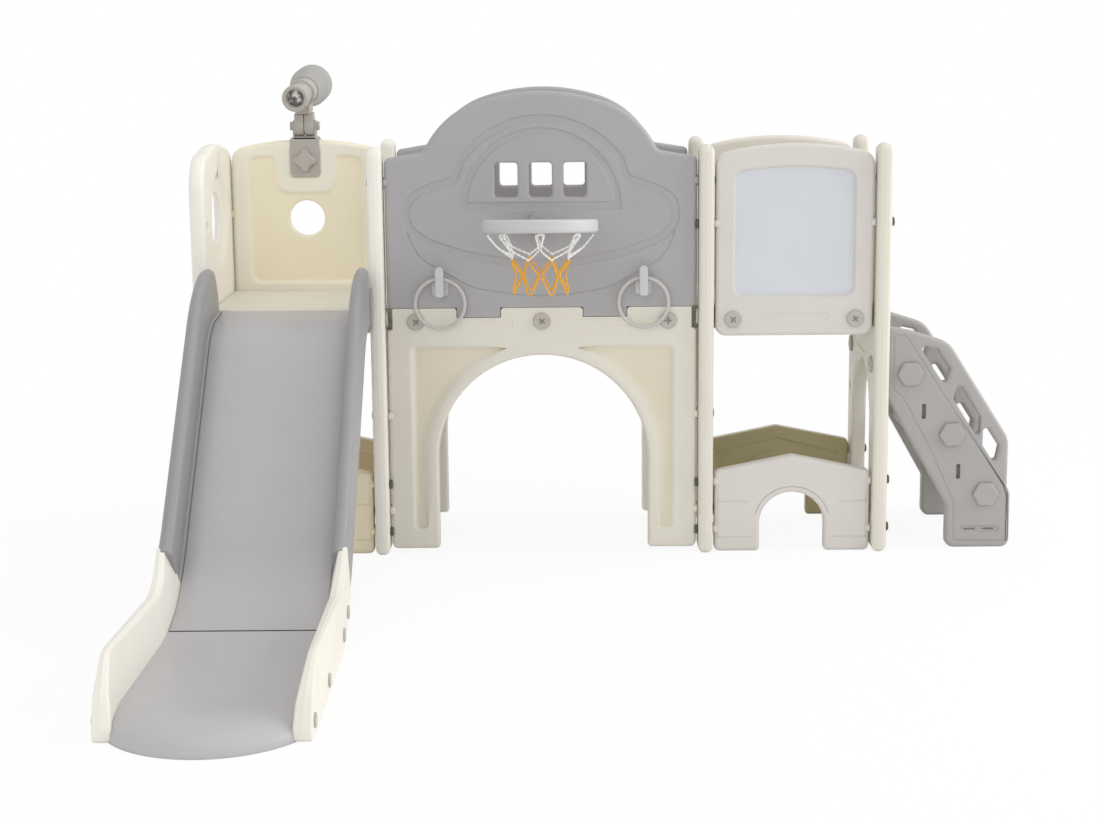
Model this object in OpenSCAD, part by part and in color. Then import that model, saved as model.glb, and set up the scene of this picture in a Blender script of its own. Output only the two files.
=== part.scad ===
// Toddler climbing gym: two towers and a bridge with a slide, stairs, a hoop,
// toss rings, a drawing board and a toy telescope. Millimetres, +Z up, front at -Y.

/* [Frame] */
// Height of the side frames over the platforms
post_rise = 380; // [340:1:420]
// Thickness of the side frames
frame_t = 36; // [32:1:40]
// How far the side frames stand out past the panels, front and rear
frame_lap = 20; // [14:1:26]
// Clear width inside each tower
tower_w = 382; // [360:1:410]
// Clear width of the bridge between the towers
bridge_w = 744; // [700:1:800]
// Height of the platforms' upper face
deck_h = 600; // [590:1:610]
// Thickness of the platforms
deck_t = 60; // [54:1:66]
// Depth of the platforms between the front and rear panels
deck_d = 340; // [320:1:360]
// Width of a post beside the upper passage
post_w = 66; // [58:1:74]
// Width of the crawl arch in a side frame
crawl_w = 280; // [250:1:300]
// Height of frame between the crawl arch and the platform
crawl_clear = 100; // [80:1:130]

/* [Closed side wall] */
// Corner radius at the top of the closed wall
wall_corner_r = 90; // [60:1:110]
// Rise of the closed wall's crown
wall_crown = 22; // [10:1:30]
// Height of the round window's centre over the platforms
eye_rise = 200; // [180:1:210]
// Radius of the round window
eye_r = 64; // [50:1:72]
// Radius of the dish around the round window
dish_r = 126; // [100:1:140]
// Depth of the dish on the inner face
dish_in = 12; // [8:1:14]
// Depth of the dish on the outer face
dish_out = 18; // [12:1:19]

/* [Panels] */
// Thickness of the moulded panels
panel_t = 36; // [32:1:40]
// Chamfer along the panels' edges
panel_edge = 7; // [4:1:9]
// Gap between a panel's end and the side frame
panel_gap = 4; // [2:1:6]
// Radius of the round bosses on the panels' ends
boss_r = 13; // [11:0.5:14]
// Depth that a boss sits in the side frame
boss_seat = 6; // [4:0.5:8]

/* [Dome] */
// Height of the dome panel's shoulders over the platforms
dome_shoulder = 353; // [340:1:370]
// Height of the dome's top over its shoulders
dome_crown = 155; // [135:1:170]
// Radius of the dome's sides
dome_r = 215; // [200:1:230]
// Radius of the dome's flatter top
dome_top_r = 470; // [430:1:520]
// Width of a dome window
pane_w = 54; // [44:1:60]
// Height of a dome window
pane_h = 82; // [70:1:90]
// Spacing of the dome windows
pane_step = 81; // [72:1:90]
// Distance of the windows' lower edge below the shoulders
pane_drop = 93; // [80:1:100]
// Outer radius of the half-round moulding over the windows
fan_r = 186; // [176:1:200]
// Distance of the half-round moulding's base below the shoulders
fan_drop = 117; // [110:1:126]

/* [Arch] */
// Half width of the arch opening
arch_r = 252; // [230:1:270]
// Distance of the arch opening's crown below the platforms' face
arch_drop = 115; // [100:1:140]
// Height of the arch panel's feet above the ground
arch_foot = 12; // [6:1:16]
// Width of the dome's tabs
tab_w = 104; // [80:1:120]
// Depth of the dome's tabs
tab_h = 23; // [15:1:28]
// Distance of a tab's centre from the middle
tab_x = 150; // [140:1:160]

/* [Low walls] */
// Height of a low wall's gable
gable_h = 236; // [225:1:250]
// Height of a low wall's eaves
eaves_h = 198; // [192:1:210]
// Radius of the door's round head
door_r = 78; // [66:1:86]
// Height of the door
door_h = 145; // [130:1:155]

/* [Upper panels] */
// Height of an upper panel from its lower edge to its crown
upper_h = 454; // [440:1:470]
// Length of an upper panel below the platform's face
upper_drop = 73; // [68:1:78]
// Rise of an upper panel's crown
upper_crown = 24; // [14:1:30]
// Corner radius at the top of an upper panel
upper_corner_r = 34; // [24:1:44]
// Width of the drawing board
board_w = 276; // [250:1:290]
// Height of the drawing board
board_h = 300; // [280:1:310]
// Thickness of the drawing board
board_t = 4; // [3:0.5:6]
// Height of the drawing board's lower edge over the platform
board_rise = 25; // [15:1:35]
// Depth of the recess that holds the drawing board
board_recess = 12; // [9:1:16]
// Radius of the lookout's porthole
porthole_r = 45; // [35:1:52]
// Height of the porthole's centre over the platform
porthole_rise = 183; // [170:1:195]

/* [Slide] */
// Width of the slide's bed
slide_w = 330; // [300:1:336]
// Thickness of the slide's rails and guards
rail_t = 32; // [26:1:36]
// Height of the rails over the bed
rail_h = 95; // [80:1:105]
// Thickness of the bed
bed_t = 26; // [22:1:30]
// Slope of the bed, in degrees
slide_angle = 45; // [42:0.5:46]
// Length of the flat lip at the top
lip_l = 100; // [80:1:120]
// Radius of the bend below the lip
top_bend_r = 180; // [140:1:220]
// Radius of the bend at the foot
foot_bend_r = 430; // [380:1:460]
// Height of the bed at the foot
foot_h = 45; // [38:1:52]
// Reach of the slide in front of the towers
slide_reach = 1425; // [1400:1:1500]
// Distance of the seam between trough and nose from the towers
seam_reach = 816; // [790:1:840]
// Radius of the nose seen from above
nose_r = 204; // [190:1:260]
// Length over which the nose rolls down
nose_roll = 120; // [90:1:140]
// Height of the guards at the foot
guard_h = 142; // [130:1:155]

/* [Stairs] */
// Length of the stairs from the tower
stair_run = 304; // [290:1:330]
// Distance of the stair sides' top below the platforms' face
stair_drop = 57; // [50:1:66]
// Thickness of the stair sides
stair_t = 36; // [32:1:40]
// Depth of a tread
tread_d = 115; // [100:1:120]
// Thickness of a tread
tread_t = 40; // [34:1:44]
// Width of the handrail openings
grip_w = 32; // [26:1:36]
// Width across the flats of the hexagon caps
hex_w = 56; // [48:1:62]

/* [Hoop] */
// Outer radius of the hoop
hoop_r = 132; // [120:1:140]
// Height of the hoop's rim
hoop_h = 30; // [24:1:34]
// Radial width of the hoop's rim
hoop_wall = 20; // [14:1:24]
// Distance of the hoop's centre from the dome
hoop_reach = 165; // [160:1:180]
// Distance of the hoop's centre below the dome's shoulders
hoop_drop = 145; // [138:1:152]
// Upward tilt of the hoop, in degrees
hoop_tilt = 5; // [0:0.5:6]
// Number of net columns
net_columns = 8; // [8:1:8]
// Thickness of the net's cord
cord_d = 3.6; // [3:0.1:3.8]
// Hanging length of the net below the rim
net_l = 146; // [130:1:150]

/* [Rings] */
// Outer radius of a toss ring
ring_r = 63; // [56:1:68]
// Thickness of a toss ring
ring_d = 8.5; // [7:0.5:10]
// Distance of the ring hooks from the middle
hook_x = 241; // [230:1:250]
// Height of the hooks' pegs over the platforms
hook_rise = 60; // [55:1:70]
// Radius of a hook's peg
peg_r = 6; // [5:0.5:7]

/* [Telescope] */
// Height of the tilt pin over the lookout panel's crown
pin_rise = 34; // [32:1:38]
// Upward tilt of the telescope at rest, in degrees
rest_tilt = 8; // [6:0.5:10]
// Turn of the telescope towards the stairs at rest, in degrees
rest_pan = 5; // [0:0.5:10]
// Height of the tube's axis over the tilt pin
tube_rise = 86; // [84:1:92]
// Distance of the eyepiece's end from the pin
eye_reach = 102; // [96:1:110]
// Distance of the hood's end from the pin
hood_reach = 124; // [118:1:134]
// Radius of the eyepiece
eyepiece_r = 36; // [32:0.5:38]
// Radius of the tube
tube_r = 32; // [30:0.5:34]
// Radius of the hood at its mouth
hood_r = 50; // [46:1:54]
// Width of the clip
clip_w = 75; // [66:1:80]
// Height of the clip's front plate
clip_h = 94; // [84:1:100]
// Radius of the star knob's lobes from its centre
knob_r = 29; // [25:1:32]

/* [Fasteners] */
// Radius of the large screws' heads
screw_head_r = 20; // [17:1:22]
// Height of the large screws' heads
screw_head_h = 6; // [4:0.5:7]
// Radius of the large screws' shanks
screw_r = 5; // [4:0.5:6]
// Radius of the dark bolts' heads
bolt_head_r = 11; // [9:0.5:12]
// Radius of the dark bolts' shanks
bolt_r = 4; // [3:0.5:4.5]

/* [Hidden] */
$fn = 48;

// Colours of the mouldings
cream = [0.87, 0.85, 0.80];
dome_grey = [0.63, 0.63, 0.64];
slide_grey = [0.69, 0.69, 0.70];
stair_grey = [0.66, 0.65, 0.63];
trim_grey = [0.70, 0.68, 0.65];
pale_grey = [0.80, 0.79, 0.80];
ring_grey = [0.75, 0.74, 0.71];
board_white = [0.80, 0.81, 0.84];
cord_white = [0.93, 0.93, 0.93];
cord_orange = [0.95, 0.60, 0.12];
bolt_dark = [0.30, 0.29, 0.27];
glass_dark = [0.35, 0.31, 0.31];

// Clearances and the overrun of cuts
seat_clear = 0.3;
run_clear = 0.1;
hole_clear = 0.3;
overrun = 5;

// Heights that follow the platforms
post_h = deck_h + post_rise;
crawl_h = deck_h - deck_t - crawl_clear;
eye_h = deck_h + eye_rise;
dome_end_h = deck_h + dome_shoulder;
dome_h = dome_end_h + dome_crown;
pane_z = dome_end_h - pane_drop;
fan_z = dome_end_h - fan_drop;
arch_h = deck_h - arch_drop;
stair_h = deck_h - stair_drop;
hoop_z = dome_end_h - hoop_drop;
hook_z = deck_h + hook_rise;

// Places of the frames: front faces of the front panels lie at Y = 0
rear_y = panel_t + deck_d;
back_y = rear_y + panel_t;
mid_y = back_y / 2;
frame_d = back_y + 2 * frame_lap;
panel_mid = panel_t / 2;
inner_x = bridge_w / 2;
tower_in = inner_x + frame_t;
tower_out = tower_in + tower_w;
outer_x = tower_out + frame_t;
tower_x = (tower_in + tower_out) / 2;
tower_half = tower_w / 2 - panel_gap;
bridge_half = inner_x - panel_gap;

// Heights of the bosses on each kind of panel
low_boss_shares = [0.28, 0.87];
arch_boss_shares = [0.22, 0.70];
dome_boss_drop = 56;
upper_boss_rise = 195;
low_bosses = eaves_h * low_boss_shares;
arch_bosses = arch_h * arch_boss_shares;
dome_bosses = [dome_end_h - dome_boss_drop];
upper_bosses = [deck_h + upper_boss_rise];
boss_heights = concat(low_bosses, arch_bosses, dome_bosses, upper_bosses);
bolt_grip = 20;

// Platform tongues in the side frames' pockets
tongue_l = 9;
tongue_w = 70;
tongue_t = 26;
tongue_share = 0.27;
tongue_y = deck_d * tongue_share;
deck_mid_z = deck_h - deck_t / 2;
deck_edge_r = 8;

// Large screws along the platforms' edges and at the panels' corners
screw_drop = 33;
screw_z = deck_h - screw_drop;
screw_grip = 30;
arch_screw_x = 300;
upper_screw_x = 145;
cross_l = 17;
cross_w = 3.4;
cross_depth = 2;
corner_screw_drop = 26;
corner_screw_z = deck_h - corner_screw_drop;
screw_seat_clear = 1;
corner_front_y = panel_t - screw_head_r - screw_seat_clear;
corner_rear_y = back_y - corner_front_y;
corner_notch_w = 12;
corner_notch_h = 52;
corner_grip = 22;

// Recesses and mouldings on the panels
emboss = 2;
field_depth = 4;
bead_w = 3;
fan_band = 22;
bar_l = 144;
bar_h = 18;
bar_r = 5;
bar_x = 142;
bar_drop = 46;
bar_z = deck_h - bar_drop;
spandrel_in = 24;
spandrel_out = 56;
spandrel_z = 52;
spandrel_rise = 25;
spandrel_turn = 70;
spandrel_tip = 100;
pane_r = 8;
corner_r = 12;
door_band = 14;
siding_shares = [0.18, 0.62];
siding_z = eaves_h * siding_shares;
upper_field_margin = 42;
upper_field_r = 26;
slot_l = 168;
slot_h = 14;
slot_r = 5;
wall_groove_w = 12;
wall_groove_l = 60;
frame_edge_r = 12;
post_corner_r = 20;
passage_r = 14;
corner_steps = 5;

function flat(p) = [p[0], p[1]];
function unit(v) = v / norm(v);

// Points of an arc about c, from angle a0 to a1
function arc(c, r, a0, a1, n) =
    [for (k = [0:n]) let (a = a0 + (a1 - a0) * k / n) c + r * [cos(a), sin(a)]];

// One corner of an outline, rounded by r
function corner(p, v, q, r) =
    r == 0 ? [v] :
    let (u1 = unit(p - v), u2 = unit(q - v), half = acos(u1 * u2) / 2)
    let (c = v + unit(u1 + u2) * r / sin(half), t = r / tan(half), s = v + u1 * t - c, e = v + u2 * t - c)
    let (a0 = atan2(s[1], s[0]), turn = atan2(s[0] * e[1] - s[1] * e[0], s * e))
    arc(c, r, a0, a0 + turn, corner_steps);

// An outline of [x, y, corner radius] points, anticlockwise
function rounded(pts) =
    let (n = len(pts))
    [for (i = [0:n - 1])
        each corner(flat(pts[(i + n - 1) % n]), flat(pts[i]), flat(pts[(i + 1) % n]), pts[i][2])];

function sharp(pts) = [for (p = pts) [p[0], p[1], 0]];
function left_normal(a, b) = let (t = unit(b - a)) [-t[1], t[0]];

// An outline moved inwards by d
function inset(path, d) =
    let (n = len(path))
    [for (i = [0:n - 1])
        let (n1 = left_normal(path[(i + n - 1) % n], path[i]))
        let (n2 = left_normal(path[i], path[(i + 1) % n]))
        path[i] + (n1 + n2) * d / (1 + n1 * n2)];

// A standing moulded slab: an outline in X and Z, from y = 0 to t, with chamfered edges
module soft_slab(path, t, edge) {
    n = len(path);
    rings = [[edge, 0], [0, edge], [0, t - edge], [edge, t]];
    pts = [for (r = rings) each [for (p = inset(path, r[0])) [p[0], r[1], p[1]]]];
    sides = [for (j = [0:len(rings) - 2], i = [0:n - 1])
        let (a = j * n + i, b = j * n + (i + 1) % n)
        each [[a, b, b + n], [a, b + n, a + n]]];
    front = [for (i = [n - 1:-1:0]) i];
    back = [for (i = [0:n - 1]) (len(rings) - 1) * n + i];
    polyhedron(pts, concat(sides, [front, back]));
}

// A standing prism of an outline in X and Z, from y = 0 to t
module prism_y(path, t) {
    translate([0, t, 0]) rotate([90, 0, 0]) linear_extrude(t) polygon(path);
}

// A prism of an outline in Y and Z, from x = 0 to t
module prism_x(path, t) {
    rotate([90, 0, 90]) linear_extrude(t) polygon(path);
}

module rod_x(r, l) { rotate([0, 90, 0]) cylinder(r = r, h = l); }
module rod_y(r, l) { rotate([-90, 0, 0]) cylinder(r = r, h = l); }

function box_path(x0, z0, x1, z1, r) = rounded([[x0, z0, r], [x1, z0, r], [x1, z1, r], [x0, z1, r]]);

// A groove or bead between two half rings, standing on a base line
module half_band(r, w, depth) {
    intersection() {
        rotate([-90, 0, 0]) difference() {
            cylinder(r = r, h = depth);
            translate([0, 0, -overrun]) cylinder(r = r - w, h = depth + 2 * overrun);
        }
        translate([-r, -overrun, 0]) cube([2 * r, depth + 2 * overrun, r]);
    }
}

// The part's origin lies at the middle of its base
stair_x = outer_x;
scope_y = rear_y + panel_mid;
hood_edge = hood_r * norm([sin(rest_pan) * cos(rest_tilt), sin(rest_tilt)]);
hood_ahead = hood_reach * cos(rest_pan) * cos(rest_tilt) - tube_rise * sin(rest_tilt);
rear_reach = scope_y + hood_ahead + hood_edge;
shift = [-stair_run / 2, (slide_reach - rear_reach) / 2, 0];
module placed() { translate(shift) children(); }

// Side frames

function frame_outline() =
    let (f = -frame_lap, b = back_y + frame_lap, c0 = mid_y - crawl_w / 2, c1 = mid_y + crawl_w / 2)
    let (spring = crawl_h - crawl_w / 2)
    rounded(concat(
        [[f, 0, 0], [c0, 0, 0]],
        sharp(arc([mid_y, spring], crawl_w / 2, 180, 0, 4 * corner_steps)),
        [[c1, 0, 0], [b, 0, 0], [b, post_h, post_corner_r], [b - post_w, post_h, post_corner_r]],
        [[b - post_w, deck_h, passage_r], [f + post_w, deck_h, passage_r]],
        [[f + post_w, post_h, post_corner_r], [f, post_h, post_corner_r]]));

// A strip with round ends, as the posts look from the front
module post_profile() {
    translate([0, frame_t / 2]) square([frame_t, post_h - frame_t]);
    for (z = [frame_t / 2, post_h - frame_t / 2]) translate([frame_t / 2, z]) circle(r = frame_t / 2);
}

module frame_blank() {
    intersection() {
        prism_x(frame_outline(), frame_t);
        translate([0, back_y + frame_lap + overrun, 0]) rotate([90, 0, 0])
            linear_extrude(frame_d + 2 * overrun) post_profile();
        translate([0, -frame_lap, -overrun]) linear_extrude(post_h + 2 * overrun)
            polygon(box_path(0, 0, frame_t, frame_d, frame_edge_r));
    }
}

// Seats of the bosses and bolts through one frame
module boss_cuts(heights) {
    for (y = [panel_mid, rear_y + panel_mid], z = heights) translate([0, y, z]) {
        translate([-overrun, 0, 0]) rod_x(bolt_r + hole_clear, frame_t + 2 * overrun);
        translate([-overrun, 0, 0]) rod_x(boss_r + seat_clear, boss_seat + overrun);
        translate([frame_t - boss_seat, 0, 0]) rod_x(boss_r + seat_clear, boss_seat + overrun);
    }
}

module tongue_shape(l, gap) {
    for (y = [mid_y - tongue_y, mid_y + tongue_y])
        translate([0, y - tongue_w / 2 - gap, deck_mid_z - tongue_t / 2 - gap])
            cube([l, tongue_w + 2 * gap, tongue_t + 2 * gap]);
}

module pocket_cuts() {
    translate([-overrun, 0, 0]) tongue_shape(overrun + tongue_l, seat_clear);
    translate([frame_t - tongue_l, 0, 0]) tongue_shape(tongue_l + overrun, seat_clear);
}

module corner_screw_holes(ys) {
    for (y = ys) translate([-overrun, y, corner_screw_z]) rod_x(screw_r + hole_clear, frame_t + 2 * overrun);
}

stair_inset = 20;
stair_side_y = [stair_inset, back_y - stair_inset - stair_t];
stair_screw_share = 0.83;
stair_screw_z = stair_h * stair_screw_share;

module stair_screw_holes() {
    for (y = stair_side_y) translate([-overrun, y + stair_t / 2, stair_screw_z])
        rod_x(screw_r + hole_clear, frame_t + 2 * overrun);
}

grip_slot_l = 116;
grip_slot_h = 13;
grip_slot_rise = 22;
grip_slot_z = crawl_h + grip_slot_rise;

// One of the three like side frames
module side_frame(x) {
    color(cream) placed() translate([x, 0, 0]) difference() {
        frame_blank();
        boss_cuts(boss_heights);
        pocket_cuts();
        corner_screw_holes([corner_front_y, corner_rear_y]);
        stair_screw_holes();
        for (side = [-emboss, frame_t - emboss]) translate([side, mid_y - grip_slot_l / 2, grip_slot_z])
            cube([2 * emboss, grip_slot_l, grip_slot_h]);
    }
}

module side_frame_slide() { side_frame(-tower_in); }
module side_frame_board() { side_frame(inner_x); }
module side_frame_stair() { side_frame(tower_out); }

function wall_outline() =
    let (f = -frame_lap, b = back_y + frame_lap, s = post_h - wall_crown)
    rounded([
        [f, 0, corner_r], [b, 0, corner_r], [b, s, wall_corner_r],
        [mid_y, post_h, 0], [f, s, wall_corner_r]]);

module side_wall_left() {
    color(cream) placed() translate([-tower_out, 0, 0]) difference() {
        rotate([0, 0, 90]) soft_slab(wall_outline(), frame_t, panel_edge);
        translate([-frame_t, mid_y, eye_h]) {
            translate([-overrun, 0, 0]) rod_x(eye_r, frame_t + 2 * overrun);
            rotate([0, 90, 0]) translate([0, 0, -overrun]) cylinder(r = dish_r, h = overrun);
            rotate([0, 90, 0]) cylinder(r1 = dish_r, r2 = eye_r + dish_out, h = dish_out);
            translate([frame_t - dish_in, 0, 0]) rotate([0, 90, 0])
                cylinder(r1 = eye_r + dish_in, r2 = dish_r, h = dish_in);
        }
        translate([-emboss, mid_y - wall_groove_w / 2, eye_h + dish_r - wall_groove_w])
            cube([2 * emboss, wall_groove_w, wall_groove_l - wall_groove_w]);
        translate([-frame_t, 0, 0]) {
            boss_cuts(concat(low_bosses, upper_bosses));
            translate([frame_t - tongue_l, 0, 0]) tongue_shape(tongue_l + overrun, seat_clear);
            corner_screw_holes([corner_rear_y]);
            translate([-overrun, corner_rear_y, corner_screw_z])
                rod_x(screw_head_r + screw_seat_clear, overrun + screw_head_h);
        }
    }
}

// Platforms: w is the clear width, y0 the front edge
module platform(x0, w, y0) {
    color(cream) placed() difference() {
        union() {
            translate([x0, y0, deck_h - deck_t]) rotate([90, 0, 90])
                linear_extrude(w) polygon(box_path(0, 0, rear_y - y0, deck_t, deck_edge_r));
            translate([x0 - tongue_l, 0, 0]) tongue_shape(w + 2 * tongue_l, 0);
        }
        children();
    }
}

module edge_holes(xs, front, rear) {
    for (x = xs) {
        if (front) translate([x, panel_t - overrun, screw_z]) rod_y(screw_r, screw_grip + overrun);
        if (rear) translate([x, rear_y - screw_grip, screw_z]) rod_y(screw_r, screw_grip + overrun);
    }
}

arch_screws = [-arch_screw_x, 0, arch_screw_x];
right_screws = [tower_x - upper_screw_x, tower_x + upper_screw_x];
left_screws = [-tower_x - upper_screw_x, -tower_x + upper_screw_x];

module platform_left() {
    platform(-tower_out, tower_w, 0) {
        edge_holes(left_screws, false, true);
        translate([-tower_in - corner_grip, corner_front_y, corner_screw_z])
            rod_x(screw_r, corner_grip + overrun);
    }
}
module platform_bridge() { platform(-inner_x, bridge_w, panel_t) edge_holes(arch_screws, true, true); }
module platform_right() { platform(tower_in, tower_w, panel_t) edge_holes(right_screws, true, true); }

// Panels between the side frames

// Round bosses on both ends of a panel that spans x0 to x1, and the bolt holes in them
module end_bosses(x0, x1, heights) {
    l = panel_gap + boss_seat;
    for (z = heights) translate([0, panel_mid, z]) {
        translate([x0 - l, 0, 0]) rod_x(boss_r, l + panel_edge);
        translate([x1 - panel_edge, 0, 0]) rod_x(boss_r, l + panel_edge);
    }
}
module end_bores(x0, x1, heights) {
    l = panel_gap + boss_seat;
    for (z = heights) translate([0, panel_mid, z]) {
        translate([x0 - l - overrun, 0, 0]) rod_x(bolt_r, l + bolt_grip + overrun);
        translate([x1 - bolt_grip, 0, 0]) rod_x(bolt_r, l + bolt_grip + overrun);
    }
}

// Stands a panel at the front, or turned to face outwards at the rear
module front_or_rear(rear) {
    if (rear) translate([0, back_y, 0]) mirror([0, 1, 0]) children();
    else children();
}

module face_holes(xs) {
    for (x = xs) translate([x, -overrun, screw_z]) rod_y(screw_r + hole_clear, panel_t + 2 * overrun);
}

// An opening with a round head and straight jambs down to the ground, its edges chamfered
module round_head_cut(r, spring) {
    e = panel_edge;
    t = panel_t;
    side = [[r + 2 * e, -e], [r, e], [r, t - e], [r + 2 * e, t + e]];
    translate([0, 0, -overrun]) linear_extrude(spring + overrun)
        polygon(concat(side, [for (i = [len(side) - 1:-1:0]) [-side[i][0], side[i][1]]]));
    translate([0, -e, spring]) rotate([-90, 0, 0]) {
        cylinder(r = r, h = t + 2 * e);
        cylinder(r1 = r + 2 * e, r2 = r, h = 2 * e);
        translate([0, 0, t]) cylinder(r1 = r, r2 = r + 2 * e, h = 2 * e);
    }
}

function dome_outline() =
    let (t = dome_top_turn, c = [0, dome_h - dome_top_r], h = dome_end_h + dome_rise)
    let (side = c + (dome_top_r - dome_r) * [sin(t), cos(t)], s = acos((h + dome_foot_l - side[1]) / dome_r))
    let (foot = side + dome_r * [sin(s), cos(s)] + [dome_foot_l / tan(s), -dome_foot_l])
    let (flank = arc(side, dome_r, 90 - s, 90 - t, corner_steps), n = len(flank) - 1)
    let (top = arc(c, dome_top_r, 90 - t, 90 + t, corner_steps))
    rounded(concat(
        [[-bridge_half, deck_h, 0], [bridge_half, deck_h, 0], [bridge_half, dome_end_h, corner_r]],
        [[foot[0], foot[1], dome_blend_r]],
        [for (i = [0:n - 1]) [flank[i][0], flank[i][1], 0]],
        [for (p = top) [p[0], p[1], 0]],
        [for (i = [n - 1:-1:0]) [-flank[i][0], flank[i][1], 0]],
        [[-foot[0], foot[1], dome_blend_r], [-bridge_half, dome_end_h, corner_r]]));
dome_top_turn = 18;
dome_rise = 15;
dome_foot_l = 13;
dome_blend_r = 24;

// The tabs under the dome, or with a gap the notches for them in the arch
module dome_tabs(gap) {
    for (x = [-tab_x, tab_x]) translate([x - tab_w / 2 - gap, -gap, deck_h - tab_h - gap])
        cube([tab_w + 2 * gap, panel_t + 2 * gap, tab_h + panel_edge + gap]);
}

hook_screw_r = 4;
hook_screw_l = 20;
hook_base_h = 32;
hook_base_drop = 14;
hook_base_z = hook_z - hook_base_drop;

module dome_panel(rear) {
    color(dome_grey) placed() front_or_rear(rear) difference() {
        union() {
            soft_slab(dome_outline(), panel_t, panel_edge);
            dome_tabs(0);
            end_bosses(-bridge_half, bridge_half, dome_bosses);
        }
        end_bores(-bridge_half, bridge_half, dome_bosses);
        for (i = [-1:1]) translate([i * pane_step - pane_w / 2, -overrun, pane_z])
            prism_y(box_path(0, 0, pane_w, pane_h, pane_r), panel_t + 2 * overrun);
        for (r = [fan_r, fan_r - fan_band]) translate([0, -emboss, fan_z + fan_r - r]) {
            half_band(r, bead_w, 2 * emboss);
            translate([-r, 0, -bead_w]) cube([2 * r, 2 * emboss, bead_w]);
        }
        if (!rear) {
            for (s = [-1, 1]) translate([s * hook_x, -overrun, hook_base_z])
                rod_y(hook_screw_r, hook_screw_l + overrun);
            translate([0, -overrun, seat_z]) rod_y(hook_screw_r, hook_screw_l + overrun);
        }
    }
}
module dome_front() { dome_panel(false); }
module dome_rear() { dome_panel(true); }

function arch_outline() =
    let (b = bridge_half, foot = arch_foot)
    rounded([[b, foot, corner_r], [b, deck_h, 0], [-b, deck_h, 0], [-b, foot, corner_r]]);

// The sunk field beside the arch, from the foot of a leg up to a tip over the opening
function spandrel() =
    let (x0 = -bridge_half + spandrel_out, x1 = -arch_r - spandrel_in, top = arch_h + spandrel_rise)
    rounded(concat(
        [[x0, top, corner_r], [x0, spandrel_z, corner_r], [x1, spandrel_z, corner_r]],
        sharp(arc([0, arch_h - arch_r], -x1, 180, 180 - spandrel_turn, 2 * corner_steps)),
        [[-spandrel_tip, top + bar_r, 0]]));

module arch_panel(rear) {
    color(cream) placed() front_or_rear(rear) difference() {
        union() {
            soft_slab(arch_outline(), panel_t, panel_edge);
            end_bosses(-bridge_half, bridge_half, arch_bosses);
        }
        end_bores(-bridge_half, bridge_half, arch_bosses);
        face_holes(arch_screws);
        dome_tabs(seat_clear);
        round_head_cut(arch_r, arch_h - arch_r);
        for (x = [-bridge_half - overrun, bridge_half - corner_notch_w])
            translate([x, -overrun, deck_h - corner_notch_h])
                cube([corner_notch_w + overrun, panel_t + 2 * overrun, corner_notch_h + overrun]);
        for (s = [-1, 1]) {
            translate([0, -overrun, 0]) mirror([s > 0 ? 1 : 0, 0, 0])
                prism_y(spandrel(), field_depth + overrun);
            translate([s * bar_x, -overrun, bar_z])
                prism_y(box_path(-bar_l / 2, 0, bar_l / 2, bar_h, bar_r), emboss + overrun);
        }
    }
}
module arch_front() { arch_panel(false); }
module arch_rear() { arch_panel(true); }

function low_outline() =
    let (w = tower_half)
    rounded([
        [-w, 0, corner_r], [w, 0, corner_r], [w, eaves_h, corner_r],
        [0, gable_h, 0], [-w, eaves_h, corner_r]]);

module low_wall(x, rear) {
    spring = door_h - door_r;
    color(cream) placed() translate([x, 0, 0]) front_or_rear(rear) difference() {
        union() {
            soft_slab(low_outline(), panel_t, panel_edge);
            end_bosses(-tower_half, tower_half, low_bosses);
        }
        end_bores(-tower_half, tower_half, low_bosses);
        round_head_cut(door_r, spring);
        translate([0, -emboss, spring]) half_band(door_r + door_band, bead_w, 2 * emboss);
        for (z = siding_z, s = [-1, 1]) {
            l = tower_half - door_r - door_band - panel_edge;
            translate([s * (tower_half - panel_edge - l / 2) - l / 2, -emboss, z])
                cube([l, 2 * emboss, bead_w]);
        }
    }
}
module low_wall_left_front() { low_wall(-tower_x, false); }
module low_wall_left_rear() { low_wall(-tower_x, true); }
module low_wall_right_front() { low_wall(tower_x, false); }
module low_wall_right_rear() { low_wall(tower_x, true); }

upper_z0 = deck_h - upper_drop;
upper_top = upper_z0 + upper_h;
upper_foot_r = 24;

function crown(w, z0, z1, rise, top_r, foot_r) =
    let (r = (w * w + rise * rise) / (2 * rise), a = asin((w - top_r) / r))
    rounded(concat(
        [[-w, z0, foot_r], [w, z0, foot_r], [w, z1 - rise, top_r]],
        sharp(arc([0, z1 - r], r, 90 - a, 90 + a, 2 * corner_steps)),
        [[-w, z1 - rise, top_r]]));

module upper_panel(x, rear, screws) {
    color(cream) placed() front_or_rear(rear) difference() {
        translate([x, 0, 0]) union() {
            soft_slab(crown(tower_half, upper_z0, upper_top, upper_crown, upper_corner_r, upper_foot_r),
                panel_t, panel_edge);
            end_bosses(-tower_half, tower_half, upper_bosses);
        }
        translate([x, 0, 0]) end_bores(-tower_half, tower_half, upper_bosses);
        face_holes(screws);
        children();
    }
}

// Holes for the screws that come through the side frames into a panel's ends
module corner_bore(x, dir) {
    translate([x - (dir < 0 ? corner_grip : overrun), corner_front_y, corner_screw_z])
        rod_x(screw_r, corner_grip + overrun);
}

board_z = deck_h + board_rise;
board_crown = 13;
board_corner_r = 14;

function board_outline(gap) =
    crown(board_w / 2 + gap, board_z - gap, board_z + board_h + gap,
        board_crown, board_corner_r, board_corner_r);

module board_frame() {
    upper_panel(tower_x, false, right_screws) {
        translate([tower_x, -overrun, 0]) prism_y(board_outline(seat_clear), board_recess + overrun);
        translate([tower_x, -overrun, screw_z])
            prism_y(box_path(-slot_l / 2, 0, slot_l / 2, slot_h, slot_r), emboss + overrun);
        corner_bore(tower_in + panel_gap, 1);
    }
}

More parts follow.
